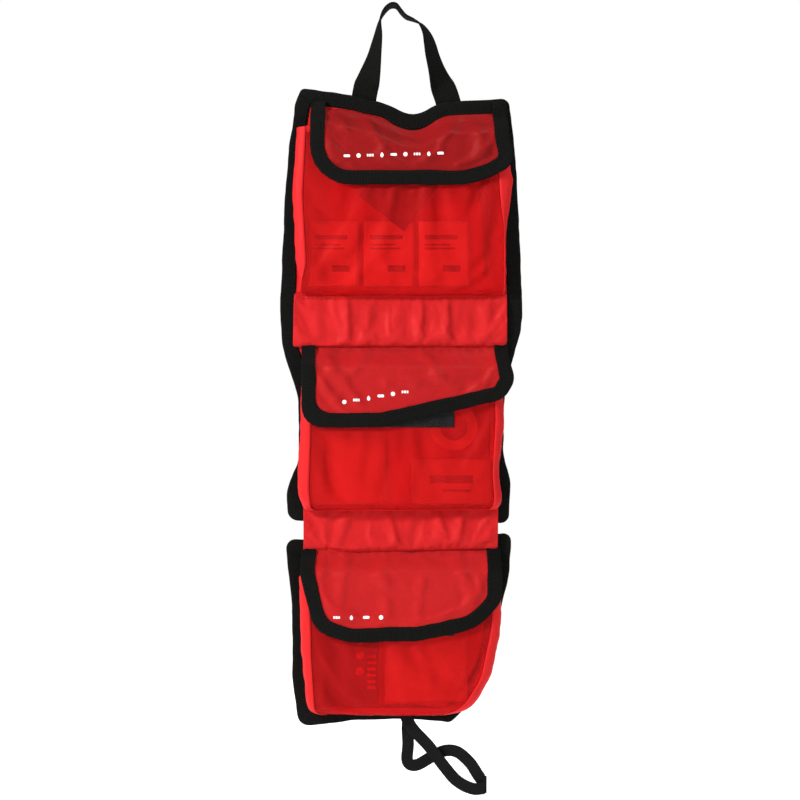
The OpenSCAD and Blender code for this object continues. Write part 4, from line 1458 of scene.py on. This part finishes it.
def seams():
    tape_stitches("upper_tape_stitches", UPPER, page_depth, PAGE_HALF)
    tape_stitches("bottom_tape_stitches", LOWER, page_depth, PAGE_HALF, seed=31)
    joined = sew("upper_tape_stitches", BLACK_THREAD)
    upper, lower = cut_at(joined, SPINE_MIDDLE, "top_tape_stitches", "middle_tape_stitches")
    low = sew("bottom_tape_stitches", BLACK_THREAD)
    for obj in (upper, lower, low):
        finish_piece(obj, "binding_tape")
    bend(upper)
    bend(lower)
    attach(low, "bottom_page")

    x = np.linspace(KIT_X - 80, KIT_X + 81, 140)
    cloth = depth_of(bpy.data.objects["spine_strip_upper"])
    for z in (FOLD_A + 0.2, FOLD_A - 2.6):
        line_z = z + 0.4 * waves(x, x * 0, 40, 7)
        stitch_row("spine_stitches", np.stack([x, cloth(x, line_z, -2.5) - 0.1, line_z], axis=1))
    rows = sew("spine_stitches", RED_THREAD)
    finish_piece(rows, "red_nylon")
    bend(rows)
    for page in PAGES:
        obj = sew(f"{page}_red_stitches", RED_THREAD)
        finish_piece(obj, "red_nylon")
        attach(obj, f"{page}_page")


seams()


# ---------------------------------------------------------------- printed signs on the flaps

def signs():
    rows = [("top", -38, 36, -121.5, 2.0, 9), ("middle", -40, 8, -316, 8.0, 6),
            ("bottom", -46, -11, -486, 0.0, 4)]
    for k, (page, x0, x1, z0, climb, count) in enumerate(rows):
        depth = depth_of(bpy.data.objects[f"{page}_flap_cloth"])
        shapes = []
        for i in range(count):
            t = i / (count - 1)
            for outline in sign(i + k, x0 + (x1 - x0) * t, z0 + climb * t):
                shapes.append(printed(outline, depth))
        obj = join(f"{page}_flap_signs", shapes, INK)
        finish_piece(obj, "card_print")
        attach(obj, f"{page}_flap")


def sign(kind, x, z):
    """Outlines of one small sign: a capsule, a tablet, a dressing or a drop."""
    angle = np.linspace(0, math.tau, 20, endpoint=False)[::-1]
    if kind % 4 == 0:
        return [np.stack([x + 1.6 * np.sign(np.cos(angle)) + 1.0 * np.cos(angle), z + 1.1 * np.sin(angle)],
                         axis=1)]
    if kind % 4 == 1:
        return [np.stack([x + 1.7 * np.cos(angle), z + 1.7 * np.sin(angle)], axis=1)]
    if kind % 4 == 2:
        return [np.stack([x + dx + w * np.clip(1.3 * np.cos(angle), -1, 1),
                          z + 1.0 * np.clip(1.3 * np.sin(angle), -1, 1)], axis=1)
                for dx, w in ((-2.0, 0.6), (0, 0.9), (2.0, 0.6))]
    return [np.stack([x + 1.3 * np.cos(angle) * (1 - 0.45 * np.sin(angle).clip(0)),
                      z + 1.9 * np.sin(angle) - 0.2], axis=1)]


def printed(outline, depth):
    """A thin inked shape that follows the cloth under it."""
    middle, n = outline.mean(axis=0), len(outline)
    flat = np.concatenate([[middle], middle + (outline - middle) * 0.5, outline])
    y = depth(flat[:, 0], flat[:, 1], FLAP_Y) - 0.14
    faces = [(0, 1 + i, 1 + (i + 1) % n) for i in range(n)]
    faces += [(1 + i, 1 + n + i, 1 + n + (i + 1) % n, 1 + (i + 1) % n) for i in range(n)]
    return add_mesh("ink", lift(flat, y), faces)


signs()
